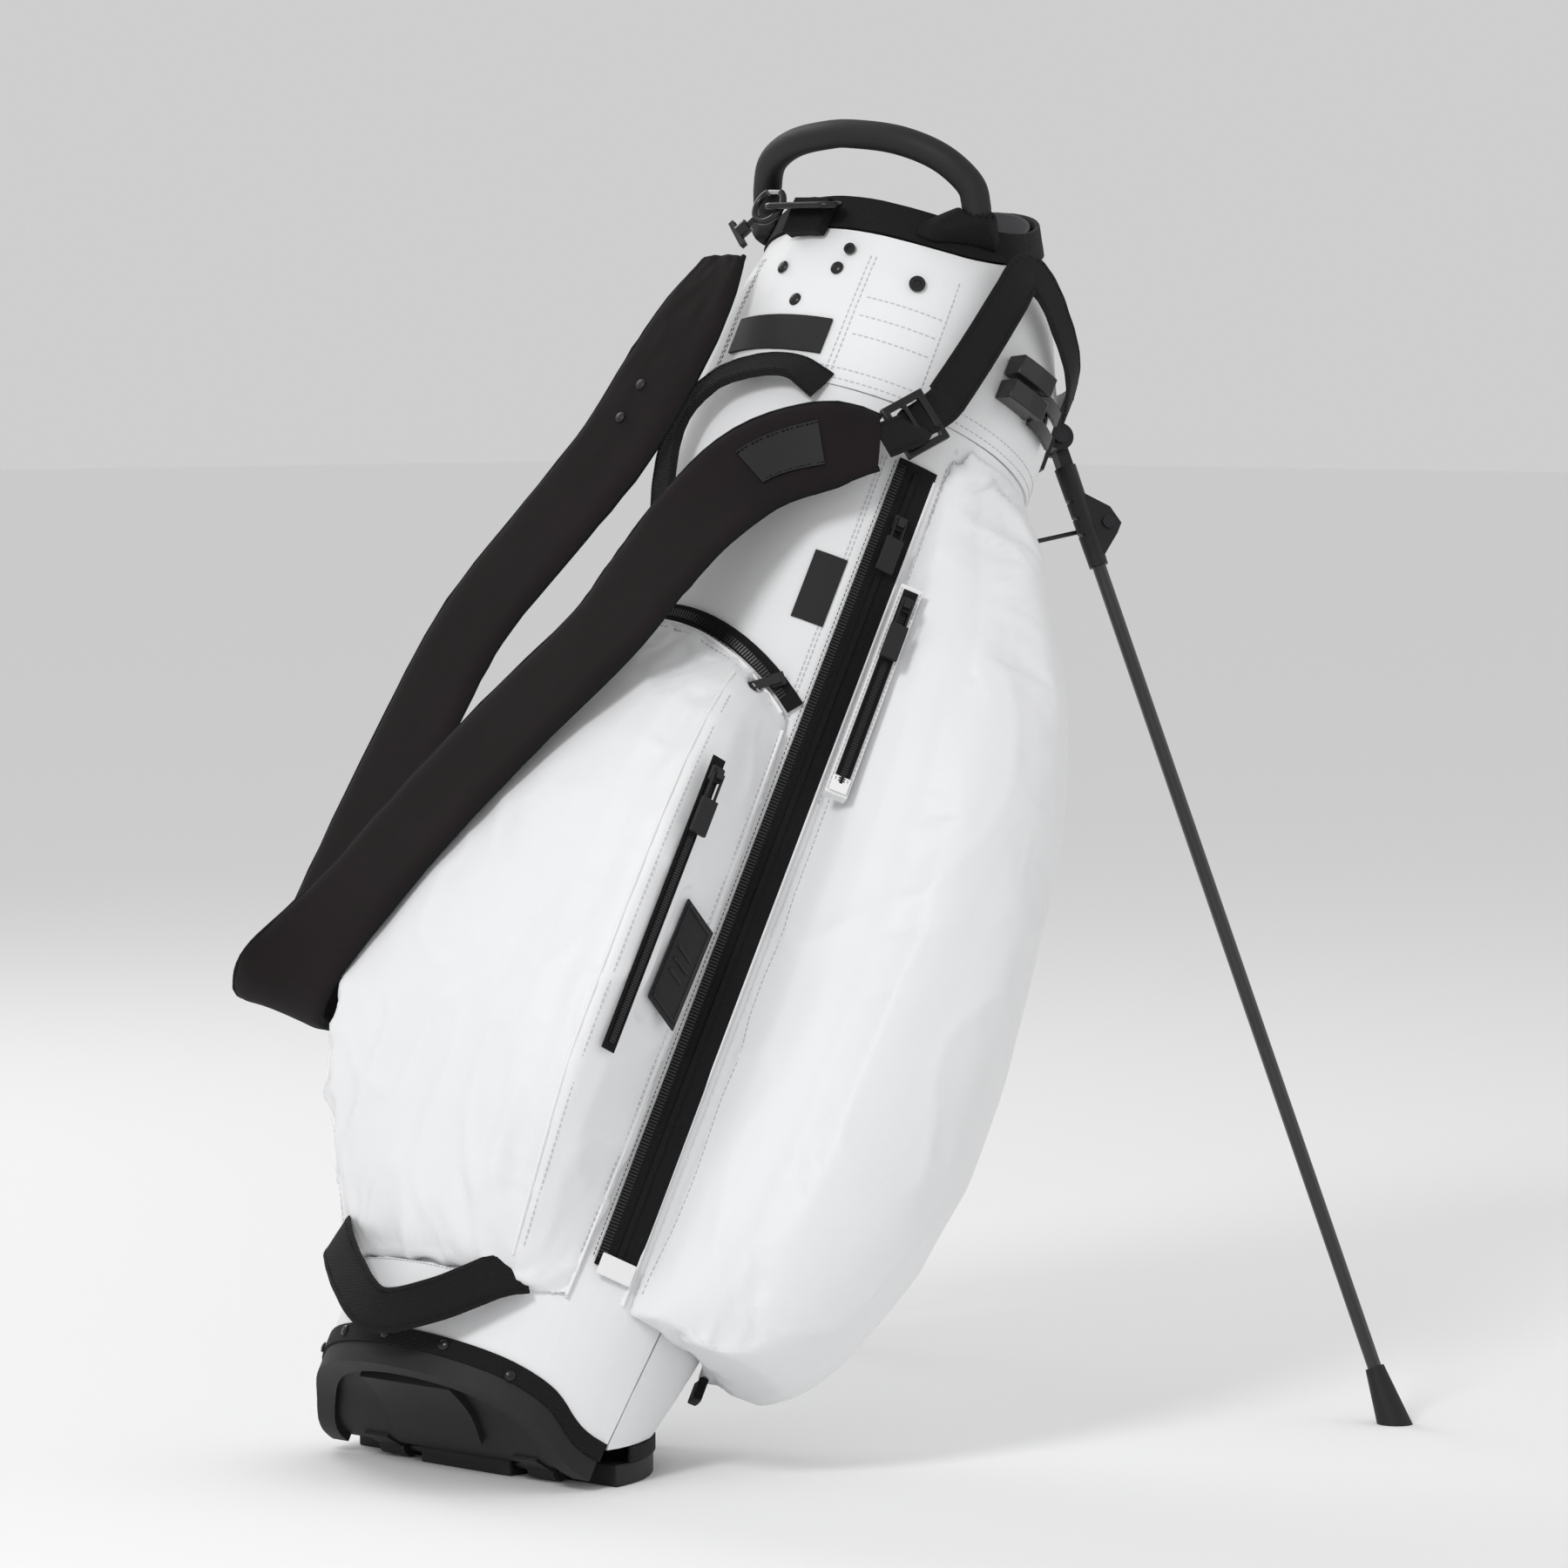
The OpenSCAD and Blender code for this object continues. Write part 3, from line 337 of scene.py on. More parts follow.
@dataclass
class SoftSkin:
    """A stuffed cloth piece made from its plain solid."""

    node: str
    voxel: float
    smooth: int
    finish: Finish
    slot: str
    wrinkles: Wrinkles | None = None
    stuffing: float = 0.0
    free: Callable[[Vector], float] = lambda p: 1.0

    def _stuff(self, obj: bpy.types.Object, furthest: float = 0.007) -> None:
        """Fills the pocket with slack cloth under pressure and keeps the creases.

        Args:
            obj: The remeshed pocket.
            furthest: The most a point may move, in metres.
        """
        scene = bpy.context.scene
        rest = [v.co.copy() for v in obj.data.vertices]
        local = [UPRIGHTING @ p for p in rest]
        seams = obj.vertex_groups.new(name="seams")
        reach = [math.hypot(p.x / TUBE_RX, p.y / TUBE_RY) for p in local]
        sewn = [i for i, r in enumerate(reach) if r < SEAM_REACH]
        seams.add(sewn, 1.0, "REPLACE")
        cloth = obj.modifiers.new("Cloth", "CLOTH")
        cloth.settings.use_pressure = True
        cloth.settings.uniform_pressure_force = self.stuffing
        cloth.settings.effector_weights.gravity = 0
        cloth.settings.shrink_min = CLOTH_SLACK
        cloth.settings.bending_stiffness = 0.3
        cloth.settings.vertex_group_mass = "seams"
        cloth.point_cache.frame_start = 1
        cloth.point_cache.frame_end = PRESS_FRAMES
        for step in range(1, PRESS_FRAMES + 1):
            scene.frame_set(step)
        shaped = obj.evaluated_get(bpy.context.evaluated_depsgraph_get()).data
        moved = [v.co.copy() for v in shaped.vertices]
        obj.modifiers.remove(cloth)
        scene.frame_set(1)
        for vertex, start, end, place in zip(obj.data.vertices, rest, moved, local):
            push = end - start
            if push.length > furthest:
                push *= furthest / push.length
            vertex.co = start + push * self.free(place)
        obj.data.update()

    def build(self, body: str = "bag") -> bpy.types.Object:
        """Remeshes the solid, rounds its edges and presses the folds in."""
        obj = new_piece(f"{self.node}_cloth", copy_of(self.node), self.finish, body, 180)
        remesh = obj.modifiers.new("Remesh", "REMESH")
        remesh.mode = "VOXEL"
        remesh.voxel_size = self.voxel
        soften = obj.modifiers.new("Smooth", "SMOOTH")
        soften.iterations = self.smooth
        soften.factor = 0.5
        apply_modifiers(obj)
        if self.stuffing:
            self._stuff(obj)
        if self.wrinkles:
            self.wrinkles.press(obj)
        shade(obj, 180)
        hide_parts(self.node)
        return obj


@dataclass
class HardPiece:
    """A moulded or turned piece: its CAD shape with softened edges."""

    node: str
    finish: Finish
    slot: str
    body: str
    bevel: float = 0.0006
    angle: float = 32.0
    subdivide: int = 0

    def build(self) -> bpy.types.Object:
        """Copies the node, rounds its sharp edges and dresses it."""
        bm = copy_of(self.node)
        bmesh.ops.dissolve_limit(bm, angle_limit=math.radians(0.5), verts=bm.verts, edges=bm.edges)
        obj = new_piece(f"{self.node}_dressed", bm, self.finish, self.body, self.angle)
        if self.bevel:
            mod = obj.modifiers.new("Bevel", "BEVEL")
            mod.width = self.bevel
            mod.segments = 2
            mod.limit_method = "ANGLE"
            mod.angle_limit = math.radians(self.angle)
            mod.harden_normals = False
        if self.subdivide:
            sub = obj.modifiers.new("Subdivision", "SUBSURF")
            sub.levels = sub.render_levels = self.subdivide
        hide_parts(self.node)
        return obj


class Skin:
    """Finds points on a made piece by looking at it from outside."""

    def __init__(self, *objs: bpy.types.Object) -> None:
        """Gathers the pieces' surfaces in one tree."""
        bm = bmesh.new()
        for obj in objs:
            bm.from_mesh(obj.data)
        self.tree = BVHTree.FromBMesh(bm)
        bm.free()

    def at(self, angle: float, z: float, lift: float = 0.0) -> tuple[Vector, Vector]:
        """Outermost point at an angle round the upright bag.

        Args:
            angle: Degrees round the bag's axis.
            z: Height along the bag in millimetres.
            lift: How far off the surface, in metres.

        Returns:
            The point and its normal.
        """
        a = math.radians(angle)
        out = Vector((math.cos(a), math.sin(a), 0))
        start = leaned(LOOK_FROM * out.x, LOOK_FROM * out.y, z)
        way = LEANING.to_3x3() @ -out
        hit, normal, _, _ = self.tree.ray_cast(start, way)
        if hit is None:
            hit, normal = leaned(110 * out.x, 122 * out.y, z), -way
        if normal.dot(way) > 0:
            normal = -normal
        return hit + normal * lift, normal


def way_at(path: Sequence[Vector], i: int) -> Vector:
    """Direction of a path at one of its points."""
    return (path[min(i + 1, len(path) - 1)] - path[max(i - 1, 0)]).normalized()


def up_and_side(path: Sequence[Vector], normals: Sequence[Vector], i: int) -> tuple[Vector, Vector]:
    """The two directions across a path at one of its points."""
    way = way_at(path, i)
    up = (normals[i] - way * normals[i].dot(way)).normalized()
    return up, up.cross(way)


def loft(bm: bmesh.types.BMesh, rings: Sequence[Sequence[bmesh.types.BMVert]]) -> None:
    """Joins rings of vertices into a closed strip with both ends filled."""
    count = len(rings[0])
    for low, high in zip(rings, rings[1:]):
        for k in range(count):
            bm.faces.new((low[k], low[(k + 1) % count], high[(k + 1) % count], high[k]))
    bm.faces.new(rings[0])
    bm.faces.new(list(reversed(rings[-1])))


def ring_edges(ring: Sequence[bmesh.types.BMVert]) -> list[bmesh.types.BMEdge]:
    """The edges that join a ring's own vertices."""
    return [e for e in {e for v in ring for e in v.link_edges} if all(v in ring for v in e.verts)]


def tube_along(
    bm: bmesh.types.BMesh, path: Sequence[Vector], radius: float, sides: int = 8
) -> None:
    """Adds a closed round tube that follows a path."""
    rings = []
    previous = None
    for i, point in enumerate(path):
        way = way_at(path, i)
        side = previous - way * previous.dot(way) if previous else way.orthogonal()
        side.normalize()
        previous = side
        turn = Matrix.Translation(point) @ Matrix(
            (side, way.cross(side), way)
        ).transposed().to_4x4()
        ring = bmesh.ops.create_circle(bm, segments=sides, radius=radius, matrix=turn)["verts"]
        rings.append(ring)
    for low, high in zip(rings, rings[1:]):
        bmesh.ops.bridge_loops(bm, edges=ring_edges(low) + ring_edges(high))
    for ring in (rings[0], rings[-1]):
        bmesh.ops.contextual_create(bm, geom=ring)


def blocks_along(
    bm: bmesh.types.BMesh, path: Sequence[Vector], normals: Sequence[Vector], pitch: float,
    size: tuple[float, float, float], sideways: float = 0.0
) -> None:
    """Adds a row of small blocks at an even pitch, such as stitches or zip teeth.

    Args:
        bm: The mesh that grows.
        path: The row's line.
        normals: Which way the surface faces at each point.
        pitch: Spacing in metres.
        size: Each block's length, width and height.
        sideways: Offset across the row.
    """
    run = 0.0
    due = pitch / 2
    for i in range(len(path) - 1):
        a, b = path[i], path[i + 1]
        length = (b - a).length
        if length < 1e-9:
            continue
        way = (b - a) / length
        up = (normals[i] - way * normals[i].dot(way)).normalized()
        across = up.cross(way)
        while due <= run + length:
            p = a + way * (due - run) + across * sideways
            turn = Matrix((way * size[0], across * size[1], up * size[2])).transposed().to_4x4()
            bmesh.ops.create_cube(bm, size=1.0, matrix=Matrix.Translation(p) @ turn)
            due += pitch
        run += length


def ribbon(
    bm: bmesh.types.BMesh, path: Sequence[Vector], normals: Sequence[Vector], width: float,
    height: float
) -> None:
    """Adds a closed flat strip that follows a path and faces along the normals."""
    rings = []
    for i, point in enumerate(path):
        up, across = up_and_side(path, normals, i)
        corners = [(-1, -1), (1, -1), (1, 1), (-1, 1)]
        rings.append(
            [
                bm.verts.new(point + across * (x * width / 2) + up * (y * height / 2)) for x,
                y in corners
            ]
        )
    loft(bm, rings)


def eased(points: Sequence[Sequence[float]], steps: int = 6) -> list[Vector]:
    """A smooth curve through the points, as vectors."""
    pts = [Vector(p) for p in points]
    out = []
    for i in range(len(pts) - 1):
        a, b, c, d = pts[max(i - 1, 0)], pts[i], pts[i + 1], pts[min(i + 2, len(pts) - 1)]
        for k in range(steps):
            t = k / steps
            out.append(
                0.5 * (
                    2 * b + (c - a) * t + (2 * a - 5 * b + 4 * c - d) * t**2
                    + (3 * b - a - 3 * c + d) * t**3
                )
            )
    return [*out, pts[-1]]


@dataclass
class Trim:
    """Lines sewn on a surface: piping, stitches, tapes and zip teeth."""

    skin: Skin

    def line(
        self, points: Iterable[tuple[float, float]], lift: float
    ) -> tuple[list[Vector], list[Vector]]:
        """Lays a line of (angle, height) points on the surface."""
        found = [self.skin.at(a, z, lift) for a, z in points]
        path = [p for p, _ in found]
        for _ in range(3):
            path = [
                path[0], *[(a + 2 * b + c) / 4 for a, b, c in zip(path, path[1:], path[2:])],
                path[-1]
            ]
        return path, [n for _, n in found]

    def piping(
        self, name: str, runs: Iterable[list[tuple[float, float]]], radius: float = 0.0016
    ) -> bpy.types.Object:
        """Adds round cord piping over the runs."""
        bm = bmesh.new()
        for run in runs:
            tube_along(bm, self.line(run, radius * 0.2)[0], radius)
        return new_piece(name, bm, WHITE_TRIM, "bag", 60)

    def stitches(
        self, name: str, runs: Iterable[list[tuple[float, float]]], pitch: float = 0.0042
    ) -> bpy.types.Object:
        """Adds dashed stitching over the runs, in grey that paints the shade of the stitch holes on
        white thread.
        """
        bm = bmesh.new()
        for run in runs:
            path, normals = self.line(run, 0.0002)
            blocks_along(bm, path, normals, pitch, (pitch * 0.62, 0.0007, 0.0006))
        return new_piece(name, bm, SHADED_THREAD, "bag", 60)


def upright(angle: float, low: float, high: float, step: float = 8.0) -> list[tuple[float, float]]:
    """A straight run up the bag at one angle."""
    count = max(2, int((high - low) / step))
    return [(angle, low + (high - low) * i / count) for i in range(count + 1)]


def around(
    height: Callable[[float], float], start: float, end: float, step: float = 2.0
) -> list[tuple[float, float]]:
    """A run round the bag whose height changes with the angle."""
    count = max(2, int((end - start) / step))
    return [(a, height(a)) for a in (start + (end - start) * i / count for i in range(count + 1))]


def level(z: float, start: float, end: float, step: float = 2.0) -> list[tuple[float, float]]:
    """A run round the bag at one height."""
    return around(lambda _: z, start, end, step)


def arched(angle: float, top: float) -> float:
    """Height of an arch over the ball pocket."""
    return top - ARCH_DROP * ((angle - ARCH_MID) / ARCH_HALF) ** 2


def pocket_top(angle: float) -> float:
    """Height of the ball pocket's arched top."""
    return arched(angle, POCKET_TOP)


def sags_low(p: Vector) -> float:
    """Deeper folds near the ball pocket's bottom."""
    return 0.35 + 0.9 * max(0.0, 1 - p.z / 0.36)


def calm_by_zip(p: Vector) -> float:
    """Shallow folds beside the garment zip."""
    return 0.15 if math.hypot(p.x, p.y) < 0.135 else 1.0


def ball_free(p: Vector) -> float:
    """How freely the ball pocket's cloth moves, none near the strap side."""
    return min(1.0, max(0.0, (p.y + 0.098) / 0.02))


def garment_free(p: Vector) -> float:
    """How freely the garment pocket's cloth moves, none near its zip."""
    return min(1.0, max(0.0, (p.x + 0.030) / 0.02))


@dataclass
class ThinSkin:
    """A single layer of cloth, kept thin and made dense enough to crease."""

    node: str
    finish: Finish
    slot: str
    wrinkles: Wrinkles
    longest: float = 0.012

    def build(self) -> bpy.types.Object:
        """Cuts the layer into short pieces and creases it."""
        bm = copy_of(self.node)
        for _ in range(5):
            long = [e for e in bm.edges if e.calc_length() > self.longest]
            if not long or len(bm.faces) > 60000:
                break
            bmesh.ops.subdivide_edges(bm, edges=long, cuts=1)
            bmesh.ops.triangulate(bm, faces=[f for f in bm.faces if len(f.verts) > 4])
        obj = new_piece(f"{self.node}_cloth", bm, self.finish, "bag", 40)
        self.wrinkles.press(obj)
        shade(obj, 40)
        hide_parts(self.node)
        return obj


class WhitePanels:
    """The white outer shell: tube, cuff, pockets, gusset and their sewing."""

    def build(self) -> None:
        """Makes the panels and sews the trims on them."""
        soft = Vector((9, 9, 6))
        pieces = [
            ThinSkin("body_tube", WHITE, "white_fabric", Wrinkles(0.0004, soft, 3.0)).build(),
            ThinSkin(
                "cuff_panel", WHITE, "white_fabric", Wrinkles(0.0006, Vector((20, 20, 14)), 8.0)
            ).build(),
            ThinSkin(
                "heel_gusset", WHITE, "white_fabric", Wrinkles(0.0009, Vector((14, 14, 26)), 5.0)
            ).build(),
            SoftSkin(
                "garment_pocket", 0.0036, 4, WHITE, "white_fabric",
                Wrinkles(0.0036, Vector((8, 8, 4)), 1.5, calm_by_zip), 4.0, garment_free
            ).build(),
            SoftSkin(
                "ball_pocket", 0.0034, 3, WHITE, "white_fabric",
                Wrinkles(0.0060, Vector((8, 16, 12)), 4.2, sags_low), 4.0, ball_free
            ).build(),
            SoftSkin(
                "accessory_pocket", 0.0036, 4, WHITE, "white_fabric",
                Wrinkles(0.0018, Vector((10, 10, 6)), 6.0)
            ).build(),
            SoftSkin("base_handle_pad", 0.0014, 5, WHITE, "white_fabric").build(),
        ]
        trim = Trim(Skin(*pieces))
        trim.piping("garment_piping", [upright(-107.3, 110, 700), upright(-36.6, 110, 700)])
        trim.piping(
            "ball_pocket_piping",
            [
                upright(235.2, 102, 500), upright(124.6, 102, 500), upright(143.3, 112, 520),
                upright(216.7, 112, 520)
            ],
            0.0013
        )
        trim.piping("ball_top_piping", [around(pocket_top, 127, 233)], 0.0014)
        trim.piping("side_pocket_piping", [upright(48, 164, 456), upright(108, 164, 456)], 0.0014)
        trim.stitches(
            "cuff_stitching",
            [
                level(744.5, 3, 357, 2.5), level(752, 3, 357, 2.5),
                *[upright(a, 745, 838, 5) for a in (206, 208, 238, 152, 150)],
                *[level(z, 210, 236) for z in (806, 792, 778)]
            ]
        )
        trim.stitches(
            "pocket_stitching",
            [
                upright(219, 118, 500), upright(140.8, 118, 500),
                around(lambda a: pocket_top(a) - 5, 130, 230), upright(-104.6, 120, 715),
                upright(-39.5, 120, 715), upright(51, 175, 445), upright(105, 175, 445),
                upright(-111.0, 466, 614, 5), upright(-105.5, 466, 614, 5)
            ]
        )
        trim.stitches(
            "tube_stitching",
            [
                upright(-124.4, 130, 704), upright(-125.6, 130, 704), upright(20, 150, 730),
                upright(22, 150, 730)
            ]
        )
        trim.stitches("base_pad_whipping", [level(z, 152, 206, 1.0) for z in (75.5, 94.5)], 0.003)


STRAP_PATH = (
    (-90, -112, 701), (-108, -88, 690), (-130, -56, 662), (-152, -42, 612), (-168, -36, 562),
    (-177, -24, 512), (-181, 20, 447), (-181, 68, 378), (-179, 106, 318), (-178, 134, 274),
    (-168, 155, 250), (-150, 168, 245), (-134, 177, 262), (-129, 184, 300), (-128, 185, 350),
    (-129, 171, 466), (-133, 152, 540), (-136, 112, 610), (-137, 79, 672), (-137, 62, 738),
    (-131, 60, 786), (-121, 64, 824)
)
STRAP_FACES = (
    (-0.62, -0.76, 0.15), (-0.72, -0.66, 0.18), (-0.85, -0.45, 0.25), (-0.93, -0.25, 0.25),
    (-0.97, -0.12, 0.2), (-0.99, -0.05, 0.12), (-1, 0, 0.03), (-1, 0, 0), (-1, -0.02, -0.05),
    (-0.93, 0, -0.35), (-0.6, 0, -0.8), (0, 0.1, -1), (0.8, 0.1, -0.6), (0.99, 0.05, -0.1),
    (1, 0, 0), (1, 0, 0), (1, 0, 0), (1, 0.02, 0), (1, 0.04, 0), (1, 0.06, 0), (0.98, 0.1, 0.05),
    (0.95, 0.1, 0.1)
)
STRAP_WIDTHS = (40, 64, *(74,) * 17, 70, 56, 34)


@dataclass
class WovenStrip:
    """A run of webbing with rounded selvedges, sewn along both edges."""

    name: str
    points: Sequence[Sequence[float]]
    faces: Sequence[Sequence[float]]
    width: float
    thick: float
    stands_for: str = ""

    def build(self) -> bpy.types.Object:
        """Lofts the webbing along its eased route and sews it."""
        path = [leaned(*p) for p in eased(self.points, 8)]
        looks = [LEANING.to_3x3() @ f.normalized() for f in eased(self.faces, 8)]
        w, h = self.width * MM / 2, self.thick * MM / 2
        section = [
            (-0.9, 1), (-0.45, 0.9), (0, 1), (0.45, 0.9), (0.9, 1), (1, 0.4), (1, -0.4), (0.9, -1),
            (0.45, -0.9), (0, -1), (-0.45, -0.9), (-0.9, -1), (-1, -0.4), (-1, 0.4)
        ]
        bm = bmesh.new()
        rings = []
        for i, point in enumerate(path):
            up, side = up_and_side(path, looks, i)
            cup = 0.0006 * noise.noise(Vector((i * 0.35, self.width, 3.0)))
            rings.append(
                [
                    bm.verts.new(point + side * (x * w) + up * (y * h + cup * x * x)) for x,
                    y in section
                ]
            )
        loft(bm, rings)
        obj = new_piece(f"{self.name}_webbing", bm, WEB, "bag", 50)
        if self.stands_for:
            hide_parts(self.stands_for)
        sewn = bmesh.new()
        face = [p + f * h for p, f in zip(path, looks)]
        for sign in (-1, 1):
            blocks_along(sewn, face, looks, 0.0036, (0.0023, 0.0006, 0.0005), sign * w * 0.78)
        new_piece(f"{self.name}_thread", sewn, TAPE, "bag", 30)
        return obj


GRAB_PATH = (
    (-104, -54, 736), (-115, -34, 744), (-122, -8, 741), (-124, 20, 731), (-124, 39, 712),
    (-123, 45, 688), (-121, 41, 660), (-118, 33, 634), (-113.6, 26, 612)
)
GRAB_FACES = (
    (-0.85, -0.45, 0.3), (-0.75, -0.3, 0.5), (-0.85, -0.05, 0.4), (-0.9, 0.15, 0.3),
    (-0.93, 0.25, 0.1), (-0.95, 0.3, 0), (-0.96, 0.27, -0.1), (-0.95, 0.22, -0.15),
    (-0.97, 0.2, -0.1)
)
FOOT_PATH = (
    (-84, 88, 98), (-100, 84, 108), (-122, 66, 102), (-134, 30, 76), (-136, -10, 54),
    (-126, -46, 68), (-106, -72, 96), (-92, -79, 106)
)
FOOT_FACES = (
    (-0.5, 0.8, 0.2), (-0.7, 0.6, 0.2), (-0.85, 0.4, 0.1), (-0.98, 0.15, 0), (-0.98, -0.1, -0.1),
    (-0.9, -0.4, 0), (-0.8, -0.6, 0.1), (-0.75, -0.65, 0.1)
)
WEB_PATH = (
    (-60, -124, 750), (-53, -125, 778), (-46, -125, 806), (-38, -124, 838), (-29, -121, 862),
    (-10, -122, 862), (16, -124, 846), (45, -119, 828), (70, -101, 812)
)
WEB_FACES = (
    (-0.5, -0.86, 0.05), (-0.42, -0.9, 0.05), (-0.36, -0.93, 0.08), (-0.3, -0.95, 0.12),
    (-0.15, -0.97, 0.2), (0.05, -0.98, 0.2), (0.2, -0.97, 0.15), (0.42, -0.9, 0.1),
    (0.62, -0.78, 0.05)
)
LOCK_PATH = (
    (-90, -113, 702), (-83, -118, 711), (-76, -121, 719), (-72, -117, 725), (-68, -121.5, 733),
    (-62, -124.5, 744), (-58, -124.5, 754)
)
LOCK_FACES = ((-0.6, -0.76, 0.3),) * 5 + ((-0.5, -0.86, 0.1),) * 2
LOOP_PATH = (
    (-106, 62, 520), (-114, 58, 545), (-126, 48, 566), (-131, 30, 572), (-124, 16, 566),
    (-112, 10, 556)
)
LOOP_FACES = (
    (-0.9, 0.4, 0.1), (-0.85, 0.4, 0.3), (-0.7, 0.2, 0.7), (-0.5, 0, 0.9), (-0.3, -0.1, 1),
    (-0.2, -0.1, 1)
)


class Harness:
    """The padded shoulder strap, its webbing and buckles, and the soft handles."""

    def build(self) -> None:
        """Makes the straps."""
        along = [leaned(*p) for p in eased(STRAP_PATH)]
        faces = [LEANING.to_3x3() @ f.normalized() for f in eased(STRAP_FACES)]
        widths = [w.x * MM for w in eased([(w, 0, 0) for w in STRAP_WIDTHS])]
        self._padded(along, faces, widths)
        self._patch(along, faces)
        for node, voxel in (("ring_tab", 0.0012), ("collar_ears", 0.0016)):
            SoftSkin(
                node, voxel, 4, TAPE, "black_fabric", Wrinkles(0.0008, Vector((22, 22, 30)), 2.0)
            ).build()
        WovenStrip("cuff", WEB_PATH, WEB_FACES, 28, 2.4, "strap_webbing").build()
        WovenStrip("grab_handle", GRAB_PATH, GRAB_FACES, 24, 5, "grab_handle").build()
        WovenStrip("base_handle", FOOT_PATH, FOOT_FACES, 30, 2.2, "base_handle").build()
        WovenStrip("lock", LOCK_PATH, LOCK_FACES, 26, 2).build()
        WovenStrip("pocket_loop", LOOP_PATH, LOOP_FACES, 12, 2).build()
        HardPiece("rear_pull_loop", WEB, "black_fabric", "bag", 0.0008, 50).build()
        for node in ("strap_buckle", "keeper_straps"):
            HardPiece(node, GLOSS, "black_plastic", "bag", 0.0009).build()
        HardPiece("strap_snaps", PLASTIC, "black_steel", "bag", 0.0004).build()

    def _padded(self, along: list[Vector], faces: list[Vector], widths: list[float]) -> None:
        """The padding in its two cloths, with rolled edges and puckers."""
        bm = bmesh.new()
        rings = []
        across_count = 14
        for i, (p, w) in enumerate(zip(along, widths)):
            up, side = up_and_side(along, faces, i)
            pinch = max(0.0, 1 - (len(along) - 1 - i) / 22)
            ring = []
            for k in range(across_count * 2):
                t = -1 + 2 * (k % across_count) / (across_count - 1)
                t = t if k < across_count else -t
                crown = max(0.0, 1 - abs(t) ** 6) ** 0.5
                edge = max(0.0, 1 - abs(abs(t) - 0.93) / 0.1)
                pucker = noise.noise(Vector((i * 0.9, t * 2.5, 4.0))) * 0.0011
                crease = pinch * 0.0022 * noise.noise(Vector((i * 0.5, t * 4.0, 9.0)))
                h = (0.0012 + 0.0029 * crown + 0.0005 * edge) * (1 if k < across_count else -1)
                ring.append(
                    bm.verts.new(
                        p + side * (t * w / 2) + up * (h + crease + pucker * (0.3 + abs(t) ** 3))
                    )
                )
            rings.append(ring)
        loft(bm, rings)
        strap = new_piece("shoulder_strap_cloth", bm, STRAP, "bag", 70)
        sub = strap.modifiers.new("Subdivision", "SUBSURF")
        sub.levels = sub.render_levels = 1
        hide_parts("shoulder_strap")
        for sign, name in ((1, "strap_edge_left"), (-1, "strap_edge_right")):
            trim = bmesh.new()
            path = []
            for i, (p, f, w) in enumerate(zip(along, faces, widths)):
                side = f.cross(way_at(along, i)).normalized()
                path.append(
                    p + side * (sign * (w / 2 - 0.0012))
                    + f * (0.0007 * noise.noise(Vector((i * 0.9, sign, 1))))
                )
            tube_along(trim, path, 0.0019)
            new_piece(name, trim, MESH, "bag", 80)

    def _patch(self, along: list[Vector], faces: list[Vector]) -> None:
        """The blank woven patch near the buckle end."""
        bm = bmesh.new()
        ribbon(
            bm, [p + f * 0.0048 for p, f in zip(along[7:14], faces[7:14])], faces[7:14], 0.034,
            0.0012
        )
        new_piece("strap_patch", bm, GLOSS, "bag", 30)
        rim = bmesh.new()
        for sign in (-1, 1):
            blocks_along(
                rim, [p + f * 0.0055 for p, f in zip(along[7:14], faces[7:14])], faces[7:14], 0.003,
                (0.002, 0.0006, 0.0005), sign * 0.0152
            )
        new_piece("strap_patch_sewing", rim, MESH, "bag", 30)


@dataclass
class ZipRun:
    """One zip: its tape comes from the frame, its teeth are laid on it."""

    name: str
    path: list[Vector]
    normals: list[Vector]
    gauge: float

    def build(self) -> None:
        """Lays two interlocking rows of coil and their sewing."""
        bm = bmesh.new()
        for side in (-1, 1):
            blocks_along(
                bm, self.path, self.normals, self.gauge,
                (self.gauge * 0.55, self.gauge * 1.3, 0.0011), side * self.gauge * 0.62
            )
        new_piece(f"{self.name}_coil", bm, NYLON, "bag", 30)
        sewn = bmesh.new()
        for side in (-1, 1):
            blocks_along(
                sewn, self.path, self.normals, SEWING_PITCH, (0.0022, 0.0005, 0.0004),
                side * self.gauge * 2.4
            )
        new_piece(f"{self.name}_sewing", sewn, WEB, "bag", 30)


